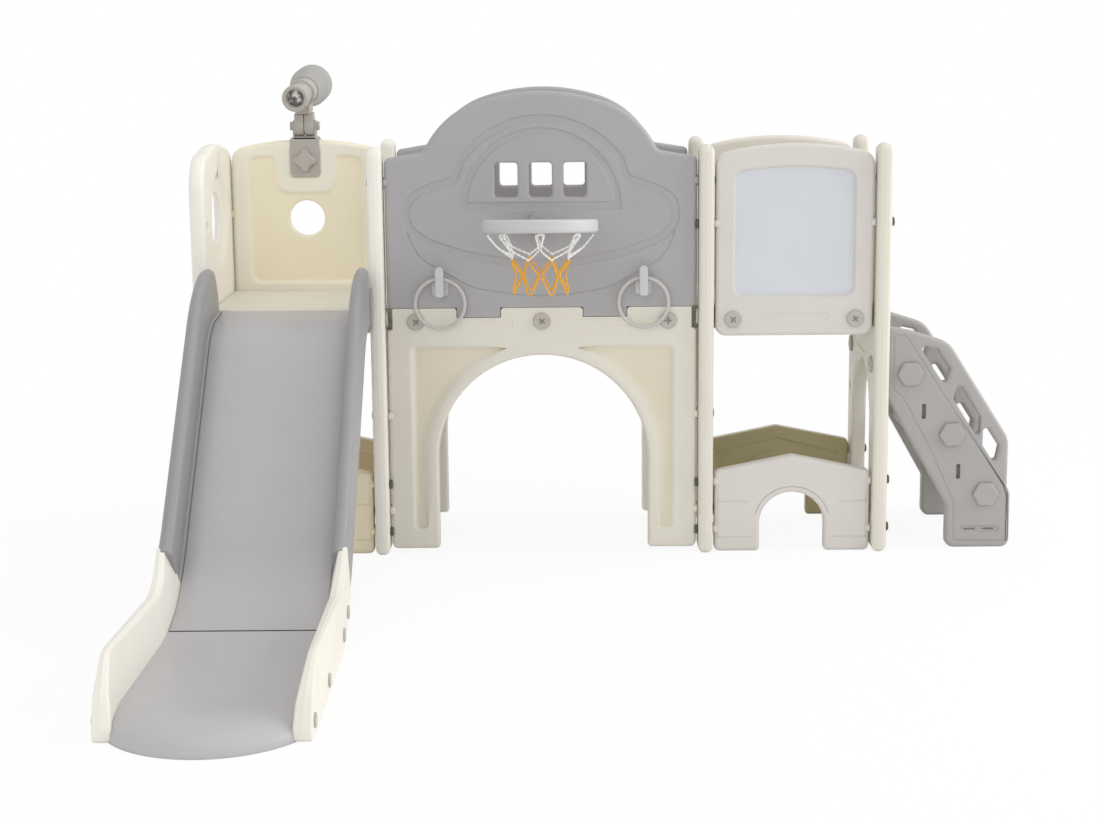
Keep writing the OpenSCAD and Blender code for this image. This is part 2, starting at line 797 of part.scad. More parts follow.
module white_board() {
    color(board_white) placed() translate([tower_x, board_recess - board_t, 0])
        prism_y(board_outline(0), board_t);
}

function field_outline(w, margin, z0, z1) =
    box_path(-w + margin, z0 + margin, w - margin, z1 - margin, upper_field_r);

module rear_panel_right() {
    upper_panel(tower_x, true, right_screws) {
        translate([tower_x, -overrun, 0])
            prism_y(field_outline(tower_half, upper_field_margin, deck_h - upper_field_margin / 2, upper_top),
                field_depth + overrun);
        corner_bore(tower_in + panel_gap, 1);
    }
}

clip_recess = 10;
clip_recess_gap = 2;
clip_border = 34;

module lookout_panel() {
    w = clip_w / 2 + clip_recess_gap;
    z1 = upper_top - clip_h;
    upper_panel(-tower_x, true, left_screws) {
        translate([-tower_x, -overrun, deck_h + porthole_rise]) rod_y(porthole_r, panel_t + 2 * overrun);
        translate([-tower_x, panel_t - clip_recess, 0])
            prism_y(box_path(-w, z1 - clip_recess_gap, w, upper_top + clip_h, corner_r),
                clip_recess + overrun);
        translate([-tower_x, panel_t - field_depth, 0]) difference() {
            prism_y(field_outline(tower_half, upper_field_margin, deck_h - upper_field_margin / 2, upper_top),
                field_depth + overrun);
            translate([0, -overrun, 0])
                prism_y(box_path(-clip_w / 2 - clip_border, z1 - clip_border, clip_w / 2 + clip_border,
                    upper_top + clip_h, clip_border), field_depth + 3 * overrun);
        }
        corner_bore(-tower_in - panel_gap, -1);
        corner_bore(-tower_out + panel_gap, 1);
    }
}

// Slide: a path of [reach in front of the towers, height, slope angle] along the bed

lip_fall = 3;
lip_drop = 3;
bend_steps = 6;
lip_end = [lip_l * cos(lip_fall), deck_h - lip_drop - lip_l * sin(lip_fall)];
top_centre = lip_end - top_bend_r * [sin(lip_fall), cos(lip_fall)];
slope_start = top_centre + top_bend_r * [sin(slide_angle), cos(slide_angle)];
slope_end_z = foot_h + foot_bend_r * (1 - cos(slide_angle));
slope_end = [slope_start[0] + (slope_start[1] - slope_end_z) / tan(slide_angle), slope_end_z];
foot_centre = slope_end + foot_bend_r * [sin(slide_angle), cos(slide_angle)];
seam_angle = asin((foot_centre[0] - seam_reach) / foot_bend_r);
rail_end_turn = 12.7;
rail_end_angle = slide_angle - rail_end_turn;

function bed_point(p, a) = [p[0], p[1], a];
function top_bend(a) = bed_point(top_centre + top_bend_r * [sin(a), cos(a)], a);
function foot_bend(a) = bed_point(foot_centre - foot_bend_r * [sin(a), cos(a)], a);
function bed_z(f) =
    f > foot_centre[0] ? foot_h : foot_centre[1] - sqrt(foot_bend_r ^ 2 - (foot_centre[0] - f) ^ 2);

// Stations of the trough, each [reach, height, angle, rail height, ledge of the bed outside its width]
bed_ledge = 3;
rail_start = frame_lap;
rail_step = 0.5;
rail_ramp_shares = [[0, 0.45], [0.2, 0.78], [0.5, 0.94], [1, 1]];
rail_ramp_l = 40;
lip_at = function(f) [f, deck_h - lip_drop - f * tan(lip_fall), lip_fall];
function with_rail(p, h, ledge) = concat(p, [h, ledge]);
end_gap_angle = 0.2;
trough_stations = concat(
    [with_rail([0, deck_h - lip_drop, 0], 0, bed_ledge)],
    [with_rail(lip_at(rail_start - rail_step), 0, bed_ledge)],
    [for (s = rail_ramp_shares) with_rail(lip_at(rail_start + s[0] * rail_ramp_l), s[1] * rail_h, 0)],
    [for (k = [0:bend_steps])
        with_rail(top_bend(lip_fall + (slide_angle - lip_fall) * k / bend_steps), rail_h, 0)],
    [with_rail(foot_bend(slide_angle), rail_h, 0), with_rail(foot_bend(rail_end_angle), rail_h, 0)],
    [for (k = [0:bend_steps - 1])
        let (a0 = rail_end_angle - end_gap_angle, a1 = seam_angle)
        with_rail(foot_bend(a0 + (a1 - a0) * k / bend_steps), 0, bed_ledge)],
    [with_rail([seam_reach, bed_z(seam_reach), 0], 0, bed_ledge)]);

bed_fillet = 12;
fillet_share = 0.3;
rail_cap_angle = 36;
rail_cap_steps = 4;

// Cross sections as [x, height over the bed] points, anticlockwise
function bed_section(ledge) =
    let (w = slide_w / 2 + ledge)
    [[-w, -bed_t], [w, -bed_t], [w, 0], [-w, 0]];
function rail_section(h, t) =
    let (w = slide_w / 2, r = t / 2, f = bed_fillet)
    concat(
        [[w, -bed_t], [w + t, -bed_t], [w + t, h - r]],
        arc([w + r, h - r], r, rail_cap_angle, 180, rail_cap_steps),
        [[w, f], [w - f * fillet_share, f * fillet_share], [w - f, 0], [w, 0]]);
function along_bed(s, section) =
    [for (q = section) [q[0], -s[0] - q[1] * sin(s[2]), s[1] + q[1] * cos(s[2])]];

// A solid through rings of like points
module sweep(rings) {
    n = len(rings[0]);
    m = len(rings);
    sides = [for (j = [0:m - 2], i = [0:n - 1])
        let (a = j * n + i, b = j * n + (i + 1) % n)
        each [[a, a + n, b + n], [a, b + n, b]]];
    first = [for (i = [0:n - 1]) i];
    last = [for (i = [n - 1:-1:0]) (m - 1) * n + i];
    polyhedron([for (r = rings) each r], concat(sides, [first, last]));
}

// Places along the guards, as shares of the way from the rails' end to the slide's end
rail_end_f = foot_bend(rail_end_angle)[0];
function guard_f(share) = rail_end_f + share * (slide_reach - rail_end_f);
guard_screw_shares = [0.085, 0.192, 0.544, 0.844];
guard_screw_reach = [for (s = guard_screw_shares) guard_f(s)];
guard_screw_depth_share = 0.55;
guard_screw_r = 4;
guard_screw_grip = 24;
guard_cap_r = 11;
guard_cap_h = 5;
function guard_screw_z(f) = bed_z(f) - bed_t * guard_screw_depth_share;

module guard_screw_bores() {
    for (f = guard_screw_reach, s = [-1, 1]) translate([s * slide_w / 2, -f, guard_screw_z(f)])
        rotate([0, -90 * s, 0]) translate([0, 0, -overrun])
            cylinder(r = guard_screw_r, h = guard_screw_grip + overrun);
}

lug_l = 46;
lug_w = 8;
lug_h = 98;
lug_drop = 44;
lug_z = deck_h - lug_drop;
lug_r = 20;

module slide_trough() {
    color(slide_grey) placed() translate([-tower_x, 0, 0]) difference() {
        sweep([for (s = trough_stations) along_bed(s, bed_section(s[4]))]);
        guard_screw_bores();
    }
}

// A rail with the lug that holds it to the tower, at the right or mirrored to the left
module slide_rail(left) {
    color(slide_grey) placed() translate([-tower_x, 0, 0]) mirror([left ? 1 : 0, 0, 0]) {
        sweep([for (s = trough_stations) if (s[3] > 0) along_bed(s, rail_section(s[3], rail_t))]);
        translate([slide_w / 2 + rail_t / 2, 0, 0])
            prism_x(box_path(-rail_start - lug_l, lug_z, -rail_start, lug_z + lug_h, lug_r),
                lug_w + rail_t / 2);
    }
}
module slide_rail_left() { slide_rail(true); }
module slide_rail_right() { slide_rail(false); }

nose_lip = 6;
nose_columns = 12;
nose_rows = 7;

// The nose: columns of top points across the bed, each rolled down to a round front edge
function nose_column(x) =
    let (front = slide_reach - nose_r + sqrt(nose_r ^ 2 - x ^ 2), roll = front - nose_roll)
    concat(
        [for (k = [0:2])
            let (f = seam_reach + (foot_centre[0] - seam_reach) * k / 2) [x, -f, bed_z(f)]],
        [for (k = [0:nose_rows]) let (a = 90 * k / nose_rows)
            [x, -roll - nose_roll * sin(a), nose_lip + (foot_h - nose_lip) * cos(a)]],
        [[x, -front, 0], [x, -foot_centre[0], 0], [x, -seam_reach, bed_z(seam_reach) - bed_t]]);

module slide_nose() {
    w = slide_w / 2 + bed_ledge;
    rings = [for (i = [0:nose_columns]) nose_column(-w + 2 * w * i / nose_columns)];
    n = len(rings[0]);
    m = len(rings);
    sides = [for (j = [0:m - 2], i = [0:n - 1])
        let (a = j * n + i, b = j * n + (i + 1) % n)
        each [[a, b, b + n], [a, b + n, a + n]]];
    first = [for (i = [n - 1:-1:0]) i];
    last = [for (i = [0:n - 1]) (m - 1) * n + i];
    color(slide_grey) placed() translate([-tower_x, 0, 0]) difference() {
        polyhedron([for (r = rings) each r], concat(sides, [first, last]));
        guard_screw_bores();
    }
}

// Guards: outline in reach and height, joined to the end of the rails
guard_shares = [[0.189, 0], [0.89, 0], [0.89, 0.17], [0.86, 0.563], [0.753, 1], [0.155, 0.873]];
guard_radii = [30, 8, 20, 60, 80, 150];
rail_end_gap = 2;
guard_skirt = 14;
rail_end_r = 10;

function guard_outline() =
    let (e = foot_bend(rail_end_angle), up = [sin(rail_end_angle), cos(rail_end_angle)])
    let (along = [cos(rail_end_angle), -sin(rail_end_angle)], p = [e[0], e[1]] + along * rail_end_gap)
    let (low = p - up * (bed_t + guard_skirt), high = p + up * rail_h)
    rounded(concat(
        [[low[0], low[1], 0]],
        [for (i = [0:len(guard_shares) - 1])
            [guard_f(guard_shares[i][0]), guard_shares[i][1] * guard_h, guard_radii[i]]],
        [[high[0], high[1], rail_end_r]]));

oval_places_shares = [[0.323, 0.58], [0.754, 0.58]];
oval_w = 22;
oval_h = 60;

module slide_guard(side) {
    gap = slide_w / 2 + bed_ledge;
    t = rail_t - bed_ledge;
    color(cream) placed() translate([-tower_x, 0, 0]) difference() {
        translate([side > 0 ? gap + t : -gap, 0, 0]) rotate([0, 0, 90]) mirror([1, 0, 0])
            soft_slab(guard_outline(), t, panel_edge);
        for (f = guard_screw_reach) translate([side * gap, -f, guard_screw_z(f)])
            rotate([0, 90 * side, 0]) translate([0, 0, -overrun])
                cylinder(r = guard_screw_r + hole_clear, h = t + 2 * overrun);
        for (p = oval_places_shares) translate([side * (gap + t), -guard_f(p[0]), p[1] * guard_h])
            translate([-emboss, 0, 0]) prism_x(oval(oval_w, oval_h), 2 * emboss);
    }
}
// An upright oval about the origin
function oval(w, h) =
    let (r = w / 2, rise = (h - w) / 2)
    concat(arc([0, rise], r, 0, 180, corner_steps), arc([0, -rise], r, 180, 360, corner_steps));
module slide_guard_left() { slide_guard(-1); }
module slide_guard_right() { slide_guard(1); }

module guard_screws() {
    x = slide_w / 2 + rail_t;
    l = rail_t + guard_screw_grip;
    color(trim_grey) placed() translate([-tower_x, 0, 0])
        for (f = guard_screw_reach, s = [-1, 1])
            translate([s * x, -f, guard_screw_z(f)]) rotate([0, 90 * s, 0]) {
            cylinder(r = guard_cap_r, h = guard_cap_h);
            translate([0, 0, -l]) cylinder(r = guard_screw_r, h = l);
        }
}

// Stairs: outlines in shares of the run and the height

stair_shares = [
    [0.490, 0], [1, 0], [1, 0.243], [0.974, 0.276], [0.974, 0.494], [0.487, 0.926],
    [0.197, 0.978], [0, 1], [0, 0.683], [0.490, 0.195]];
stair_radii = [20, 20, 0, 0, 50, 45, 0, 0, 0, 12];
body_top_shares = [[0.164, 0.952], [0.944, 0.276]];
grip_shares = [[0.07, 0.337, 0.275, 0.145], [0.43, 0.705, 0.595, 0.365], [0.738, 0.868, 0.79, 0.628]];
grip_margin = 11;
grip_corner_r = 7;
cap_places_shares = [[0.799, 0.245], [0.523, 0.517], [0.184, 0.790]];
cap_h = 9;
rod_r = 8;
stair_slot_w = 9;
stair_slot_h = 36;
stair_slot_r = 3;
stair_slot_shares = [[0.286, 0.626], [0.566, 0.355]];
foot_slot_h = 16;
foot_slot_r = 5;
foot_slot_shares = [[0.595, 0.088], [0.908, 0.088]];

function stair_at(s) = [s[0] * stair_run, s[1] * stair_h];
foot_slot = [for (s = foot_slot_shares) stair_at(s)];
body_top = [for (s = body_top_shares) stair_at(s)];
body_dir = unit(body_top[1] - body_top[0]);
body_up = [-body_dir[1], body_dir[0]];
body_l = norm(body_top[1] - body_top[0]);
// A point at share s along the stairs' upper edge, w out from it
function body_at(s, w) = body_top[0] + body_dir * (s * body_l) + body_up * w;

// A handhold: two corners beside the stairs' edge and two beside the rail
function grip_outline(s) =
    let (low = grip_margin, high = grip_margin + grip_w, out = [low, low, high, high])
    rounded([for (i = [0:len(s) - 1]) let (p = body_at(s[i], out[i])) [p[0], p[1], grip_corner_r]]);

function stair_outline() =
    rounded([for (i = [0:len(stair_shares) - 1])
        let (p = stair_at(stair_shares[i])) [p[0], p[1], stair_radii[i]]]);

// A stair side with its outer face at y = 0
module stair_side() {
    difference() {
        soft_slab(stair_outline(), stair_t, panel_edge);
        for (s = grip_shares) translate([0, -overrun, 0]) prism_y(grip_outline(s), stair_t + 2 * overrun);
        for (s = cap_places_shares) translate([stair_at(s)[0], -overrun, stair_at(s)[1]])
            rod_y(rod_r + hole_clear, stair_t + 2 * overrun);
        for (s = stair_slot_shares) translate([stair_at(s)[0], -overrun, stair_at(s)[1]])
            prism_y(box_path(-stair_slot_w / 2, -stair_slot_h / 2, stair_slot_w / 2, stair_slot_h / 2,
                stair_slot_r), field_depth + overrun);
        translate([0, -overrun, 0])
            prism_y(box_path(foot_slot[0][0], foot_slot[0][1] - foot_slot_h / 2,
                foot_slot[1][0], foot_slot[1][1] + foot_slot_h / 2, foot_slot_r), field_depth + overrun);
        translate([-overrun, stair_t / 2, stair_screw_z]) rod_x(screw_r, screw_grip + overrun);
    }
}
module stair_side_front() {
    color(stair_grey) placed() translate([stair_x, stair_side_y[0], 0]) stair_side();
}
module stair_side_rear() {
    color(stair_grey) placed() translate([stair_x, stair_side_y[1] + stair_t, 0]) mirror([0, 1, 0])
        stair_side();
}

tread_edge_r = 8;
tread_margin = 6;
tread_lift = 20;

// Tread k lies under the stairs' upper edge, about its rod
module stair_tread(k) {
    p = stair_at(cap_places_shares[k]);
    top = p[1] + tread_lift;
    x1 = body_top[0][0] + (body_top[0][1] - top) * body_dir[0] / -body_dir[1] - tread_margin;
    x0 = max(0, x1 - tread_d);
    y0 = stair_side_y[0] + stair_t;
    color(stair_grey) placed() translate([stair_x, y0, 0]) difference() {
        prism_y(box_path(x0, top - tread_t, x1, top, tread_edge_r), stair_side_y[1] - y0);
        translate([p[0], -overrun, p[1]]) rod_y(rod_r + hole_clear, deck_d + 2 * panel_t);
    }
}
module stair_tread_low() { stair_tread(0); }
module stair_tread_middle() { stair_tread(1); }
module stair_tread_top() { stair_tread(2); }

// Hexagon caps on both ends of a rod through each tread
module stair_caps() {
    y0 = stair_side_y[0];
    l = stair_side_y[1] + stair_t - y0;
    color(stair_grey) placed() for (s = cap_places_shares)
        translate([stair_x + stair_at(s)[0], y0, stair_at(s)[1]]) {
            rod_y(rod_r, l);
            for (y = [-cap_h, l]) translate([0, y, 0]) rotate([-90, 0, 0])
                cylinder(d = hex_w / cos(30), h = cap_h, $fn = 6);
        }
}

// Hoop, tilted up a little about its centre

seat_lift = 3;
seat_z = hoop_z - hoop_r * sin(hoop_tilt) + seat_lift;
seat_r = 30;
seat_t = 5;
socket_w = 44;
socket_h = 20;
socket_floor = 12;
tongue_half = 14;
hoop_tongue_t = 8;
hoop_round = 6;
lug_d = 7;
lug_drop_h = 2;
net_top_share = 0.6;
net_top_r = hoop_r - hoop_wall * net_top_share;
rim_gap = 2;

module at_hoop() { translate([0, -hoop_reach, hoop_z]) rotate([-hoop_tilt, 0, 0]) children(); }

module hoop_rim() {
    color(pale_grey) placed() at_hoop() {
        rotate_extrude($fn = 96)
            polygon(box_path(hoop_r - hoop_wall, -hoop_h / 2, hoop_r, hoop_h / 2, hoop_round));
        translate([-tongue_half, hoop_r - hoop_wall / 2, -hoop_tongue_t / 2])
            cube([2 * tongue_half, hoop_reach - hoop_r + hoop_wall / 2 - socket_floor, hoop_tongue_t]);
        for (k = [0:net_columns - 1]) rotate([0, 0, k * 360 / net_columns])
            translate([0, -net_top_r, -hoop_h / 2 - lug_drop_h]) cylinder(d = lug_d, h = 2 * lug_drop_h);
    }
}

module hoop_bracket() {
    c = seat_clear;
    y0 = hoop_r + rim_gap;
    color(dome_grey) placed() difference() {
        union() {
            translate([0, -seat_t, seat_z]) rod_y(seat_r, seat_t);
            intersection() {
                at_hoop() translate([-socket_w / 2, y0, -socket_h / 2])
                    cube([socket_w, hoop_reach, socket_h]);
                translate([-socket_w, -hoop_reach, 0]) cube([2 * socket_w, hoop_reach, post_h]);
            }
            translate([0, -seat_t, seat_z]) rod_y(hook_screw_r, seat_t + hook_screw_l);
        }
        at_hoop() translate([-tongue_half - c, 0, -hoop_tongue_t / 2 - c])
            cube([2 * (tongue_half + c), hoop_reach - socket_floor, hoop_tongue_t + 2 * c]);
    }
}

// Net: rows of [radius share, drop share, share of the rim's tilt] from the rim down
net_top_z = hoop_z - hoop_h / 2 - lug_drop_h - seat_clear - cord_d / 2;
row_shares = [[1, 0, 1], [0.80, 0.24, 0.5], [0.58, 0.42, 0], [0.48, 0.70, 0], [0.54, 1, 0]];
rim_spread = 4;
knot_spread = 1.6;
loop_spread = 2.6;
dip_spread = 2;
dip = 3;
cord_sides = 6;

// A point on row i at angle a from the front, lifted by dz
function net_point(i, a, dz) =
    let (r = row_shares[i][0] * net_top_r, y = -r * cos(a))
    let (rise = -y * tan(hoop_tilt) * row_shares[i][2])
    [r * sin(a), y - hoop_reach, net_top_z - row_shares[i][1] * net_l + rise + dz];

// A closed tube along pts
module closed_tube(pts, d) {
    n = len(pts);
    ring = [for (i = [0:n - 1])
        let (t = unit(pts[(i + 1) % n] - pts[(i + n - 1) % n]))
        let (b = unit(cross(t, [pts[i][0], pts[i][1] + hoop_reach, 0])), c = cross(b, t))
        each [for (k = [0:cord_sides - 1])
            let (a = 360 * k / cord_sides) pts[i] + d / 2 * (b * cos(a) + c * sin(a))]];
    faces = [for (i = [0:n - 1], k = [0:cord_sides - 1])
        let (a = i * cord_sides + k, b = i * cord_sides + (k + 1) % cord_sides)
        let (c = (i + 1) % n * cord_sides + k, e = (i + 1) % n * cord_sides + (k + 1) % cord_sides)
        each [[a, c, e], [a, e, b]]];
    polyhedron(ring, faces);
}

net_step = 360 / net_columns;

// One white cord all the way round, from hook to hook by way of the knots
module net_upper() {
    pts = [for (k = [0:net_columns - 1])
        let (a = k * net_step, m = a + net_step / 2, e = a + net_step)
        each [
            net_point(0, a + rim_spread / 2, 0), net_point(0, a + rim_spread, -dip),
            net_point(1, a + knot_spread, 0), net_point(2, m - dip_spread, dip), net_point(2, m, 0),
            net_point(2, m + dip_spread, dip), net_point(1, e - knot_spread, 0),
            net_point(0, e - rim_spread, -dip), net_point(0, e - rim_spread / 2, 0)]];
    color(cord_white) placed() closed_tube(pts, cord_d);
}

// Orange loops that hang from the white cord's low points
module net_lower() {
    hang = cord_d + seat_clear;
    color(cord_orange) placed() for (k = [0:net_columns - 1]) {
        a = k * net_step;
        m = a + net_step / 2;
        e = a + net_step;
        closed_tube([
            net_point(2, m, -hang), net_point(2, m + dip_spread, -hang - dip),
            net_point(3, e - loop_spread - dip_spread, 2 * dip), net_point(3, e - loop_spread, 0),
            net_point(3, e - loop_spread - dip_spread, -2 * dip),
            net_point(4, m + 3 * dip_spread, 3 * dip), net_point(4, m + 2 * dip_spread, dip),
            net_point(4, m, 0), net_point(4, m - 2 * dip_spread, dip),
            net_point(4, m - 3 * dip_spread, 3 * dip),
            net_point(3, a + loop_spread + dip_spread, -2 * dip), net_point(3, a + loop_spread, 0),
            net_point(3, a + loop_spread + dip_spread, 2 * dip),
            net_point(2, m - dip_spread, -hang - dip)], cord_d);
    }
}

// Toss rings and their hooks

hook_base_w = 38;
hook_base_t = 5;
hook_throat = 19;
strip_w = 20;
strip_h = 72;
strip_t = 5;
strip_low = 31;
strip_z = hook_z - strip_low;
ring_hang = peg_r + seat_clear;
ring_z = hook_z + ring_hang + ring_d - ring_r;
ring_y = -hook_base_t - hook_throat / 2;

module hook(side) {
    color(pale_grey) placed() translate([side * hook_x, 0, 0]) {
        translate([0, -hook_base_t, 0])
            prism_y(box_path(-hook_base_w / 2, hook_base_z - hook_base_h / 2, hook_base_w / 2,
                hook_base_z + hook_base_h / 2, strip_t), hook_base_t);
        translate([0, -hook_base_t - hook_throat, hook_z]) rod_y(peg_r, hook_throat);
        translate([0, -hook_base_t - hook_throat - strip_t, 0])
            prism_y(box_path(-strip_w / 2, strip_z, strip_w / 2, strip_z + strip_h, strip_t), strip_t);
        translate([0, 0, hook_base_z]) rod_y(hook_screw_r, hook_screw_l);
    }
}
module hook_left() { hook(-1); }
module hook_right() { hook(1); }

module ring(side) {
    color(ring_grey) placed() translate([side * hook_x, ring_y, ring_z]) rotate([90, 0, 0])
        rotate_extrude($fn = 96) translate([ring_r - ring_d / 2, 0]) circle(d = ring_d, $fn = 24);
}
module ring_left() { ring(-1); }
module ring_right() { ring(1); }

// Telescope: its own frame has the tilt pin along X through the origin

pin_z = upper_top + pin_rise;
pin_r = 5;
pin_head_r = 11;
pin_head_h = 8;
knuckle_w = 48;
knuckle_r = 25;
knuckle_top = 33;
knuckle_d = 36;
slit_w = 2.5;
slit_l = 38;
spigot_r = 9;
spigot_l = 18;
ear_t = 5;
ear_d = 30;
plate_t = 10;
bridge_t = 8;
rear_plate_t = 8;
rear_plate_h = 80;
knob_t = 14;
knob_lobes = 4;
lobe_r = 10;
knob_hub_r = 20;
stud_r = 4;
foot_w = 38;
foot_d = 44;
tube_wall = 5;
cup_l = 24;
neck_r = 27;
lens_t = 5;
lens_r = 22;
lens_inset = 9;
hood_start = 22;
hood_flare = 40;
objective_inset = 14;
knob_share = 0.55;
knob_z = upper_top - clip_h * knob_share;
collar = 3;
lens_lip = 2;

module at_pin() { translate([-tower_x, scope_y, pin_z]) children(); }
module at_mount() { at_pin() rotate([rest_tilt, 0, 0]) rotate([0, 0, -rest_pan]) children(); }
module at_tube() { at_mount() translate([0, 0, tube_rise]) children(); }

module telescope_clip() {
    ear_x = knuckle_w / 2 + seat_clear;
    y0 = -panel_mid + clip_recess - plate_t;
    y1 = panel_mid + rear_plate_t;
    w = clip_w / 2;
    top = upper_top - pin_z;
    color(trim_grey) placed() at_pin() difference() {
        union() {
            translate([0, y0, 0])
                prism_y(box_path(-w, top - clip_h, w, top + bridge_t, corner_r), plate_t);
            translate([-w + corner_r, y0, top]) cube([clip_w - 2 * corner_r, y1 - y0, bridge_t]);
            translate([0, panel_mid, 0])
                prism_y(box_path(-w, top - rear_plate_h, w, top + bridge_t, corner_r), rear_plate_t);
            for (x = [-ear_x - ear_t, ear_x]) translate([x, 0, 0]) {
                rod_x(ear_d / 2, ear_t);
                translate([0, -ear_d / 2, top]) cube([ear_t, ear_d, -top]);
            }
        }
        translate([-clip_w, 0, 0]) rod_x(pin_r, 2 * clip_w);
        translate([0, y0 - overrun, knob_z - pin_z])
            rod_y(stud_r + run_clear, plate_t + 2 * overrun);
    }
}

module tilt_pin() {
    l = knuckle_w + 2 * (ear_t + seat_clear);
    color(trim_grey) placed() at_pin() {
        translate([-l / 2, 0, 0]) rod_x(pin_r, l);
        for (x = [-l / 2 - pin_head_h, l / 2]) translate([x, 0, 0]) rod_x(pin_head_r, pin_head_h);
    }
}

module star_knob() {
    y0 = -panel_mid + clip_recess - plate_t - seat_clear;
    color(trim_grey) placed() at_pin() translate([0, y0, knob_z - pin_z]) {
        translate([0, -knob_t, 0]) rod_y(knob_hub_r, knob_t);
        for (k = [0:knob_lobes - 1]) rotate([0, k * 360 / knob_lobes, 0])
            translate([knob_r - lobe_r, -knob_t, 0]) rod_y(lobe_r, knob_t);
        rod_y(stud_r, plate_t);
    }
}

module tilt_knuckle() {
    color(trim_grey) placed() at_pin() rotate([rest_tilt, 0, 0]) difference() {
        union() {
            translate([-knuckle_w / 2, 0, 0]) rod_x(knuckle_r, knuckle_w);
            translate([-knuckle_w / 2, -knuckle_d / 2, 0]) cube([knuckle_w, knuckle_d, knuckle_top]);
        }
        translate([-knuckle_w, 0, 0]) rod_x(pin_r + run_clear, 2 * knuckle_w);
        translate([0, 0, knuckle_top - spigot_l - seat_clear])
            cylinder(r = spigot_r + run_clear, h = spigot_l + overrun);
        translate([-slit_w / 2, -knuckle_d, knuckle_top - slit_l])
            cube([slit_w, knuckle_d, slit_l + overrun]);
    }
}

// Turns a profile of [radius, place along the tube] points about the tube's axis
module turned(pts) { rotate([-90, 0, 0]) rotate_extrude($fn = 72) polygon(pts); }

cup_end = -eye_reach + cup_l;

module telescope_tube() {
    step_r = tube_r + collar;
    bore = tube_r - 2 * tube_wall;
    z0 = knuckle_top + seat_clear;
    color(trim_grey) placed() {
        at_tube() turned([
            [bore, cup_end], [neck_r, cup_end], [neck_r, -foot_d / 2 - tube_wall],
            [step_r, -foot_d / 2 - tube_wall], [step_r, -foot_d / 2], [tube_r, -foot_d / 2 + tube_wall],
            [tube_r, hood_start], [bore, hood_start]]);
        at_mount() {
            difference() {
                translate([-foot_w / 2, -foot_d / 2, z0]) cube([foot_w, foot_d, tube_rise - z0]);
                translate([0, -foot_d, tube_rise]) rod_y(bore + tube_wall, 2 * foot_d);
            }
            translate([0, 0, z0 - spigot_l]) cylinder(r = spigot_r, h = spigot_l);
        }
    }
}

module eyepiece_cup() {
    lip = lens_r - lens_lip;
    color(trim_grey) placed() at_tube() turned([
        [lens_r + run_clear, -eye_reach + lens_inset], [lens_r + tube_wall, -eye_reach],
        [eyepiece_r, -eye_reach], [eyepiece_r, cup_end - tube_wall],
        [neck_r + tube_wall / 2, cup_end], [lip, cup_end],
        [lip, -eye_reach + lens_inset + lens_t], [lens_r + run_clear, -eye_reach + lens_inset + lens_t]]);
}

module eyepiece_lens() {
    color(glass_dark) placed() at_tube() translate([0, -eye_reach + lens_inset, 0]) rod_y(lens_r, lens_t);
}

module objective_hood() {
    flare_y = hood_start + hood_flare;
    wall = tube_wall;
    seat = hood_reach - objective_inset;
    bore = tube_r - 2 * tube_wall;
    color(trim_grey) placed() at_tube() turned([
        [bore, hood_start], [tube_r + wall / 2, hood_start], [tube_r + wall, hood_start + wall],
        [tube_r + wall, hood_start + 2 * wall], [hood_r - wall, flare_y], [hood_r, flare_y + 2 * wall],
        [hood_r, hood_reach], [hood_r - wall, hood_reach], [hood_r - wall, seat - lens_t],
        [hood_r - 2 * wall, seat - lens_t], [hood_r - 2 * wall, flare_y + wall],
        [bore, hood_start + 2 * wall]]);
}

module objective_lens() {
    color(glass_dark) placed() at_tube() translate([0, hood_reach - objective_inset - lens_t, 0])
        rod_y(hood_r - tube_wall, lens_t);
}

// Fasteners

// A large screw whose head faces -Z in its own frame, with a cross recess
module large_screw(l) {
    difference() {
        translate([0, 0, -screw_head_h]) cylinder(r = screw_head_r, h = screw_head_h);
        for (a = [45, 135]) rotate([0, 0, a]) translate([-cross_l / 2, -cross_w / 2, -screw_head_h - overrun])
            cube([cross_l, cross_w, cross_depth + overrun]);
    }
    cylinder(r = screw_r, h = l);
}

module face_screws(xs) {
    for (x = xs) translate([x, 0, screw_z]) rotate([-90, 0, 0]) large_screw(panel_t + screw_grip);
}
module panel_screws_front() { color(trim_grey) placed() face_screws(concat(arch_screws, right_screws)); }
module panel_screws_rear() {
    color(trim_grey) placed() translate([0, back_y, 0]) mirror([0, 1, 0])
        face_screws(concat(left_screws, arch_screws, right_screws));
}

module stair_screws() {
    color(trim_grey) placed() for (y = stair_side_y) translate([tower_out, y + stair_t / 2, stair_screw_z])
        rotate([0, 90, 0]) large_screw(frame_t + screw_grip);
}

// Screws from the bridge through the inner side frames, and from outside through the closed wall
module corner_screws() {
    l = frame_t + panel_gap + corner_grip;
    color(trim_grey) placed() {
        for (y = [corner_front_y, corner_rear_y]) {
            translate([inner_x, y, corner_screw_z]) rotate([0, 90, 0]) large_screw(l);
            translate([-inner_x, y, corner_screw_z]) rotate([0, -90, 0])
                large_screw(y < mid_y ? frame_t + corner_grip : l);
        }
        translate([-outer_x + screw_head_h, corner_rear_y, corner_screw_z]) rotate([0, 90, 0])
            large_screw(l - screw_head_h);
    }
}

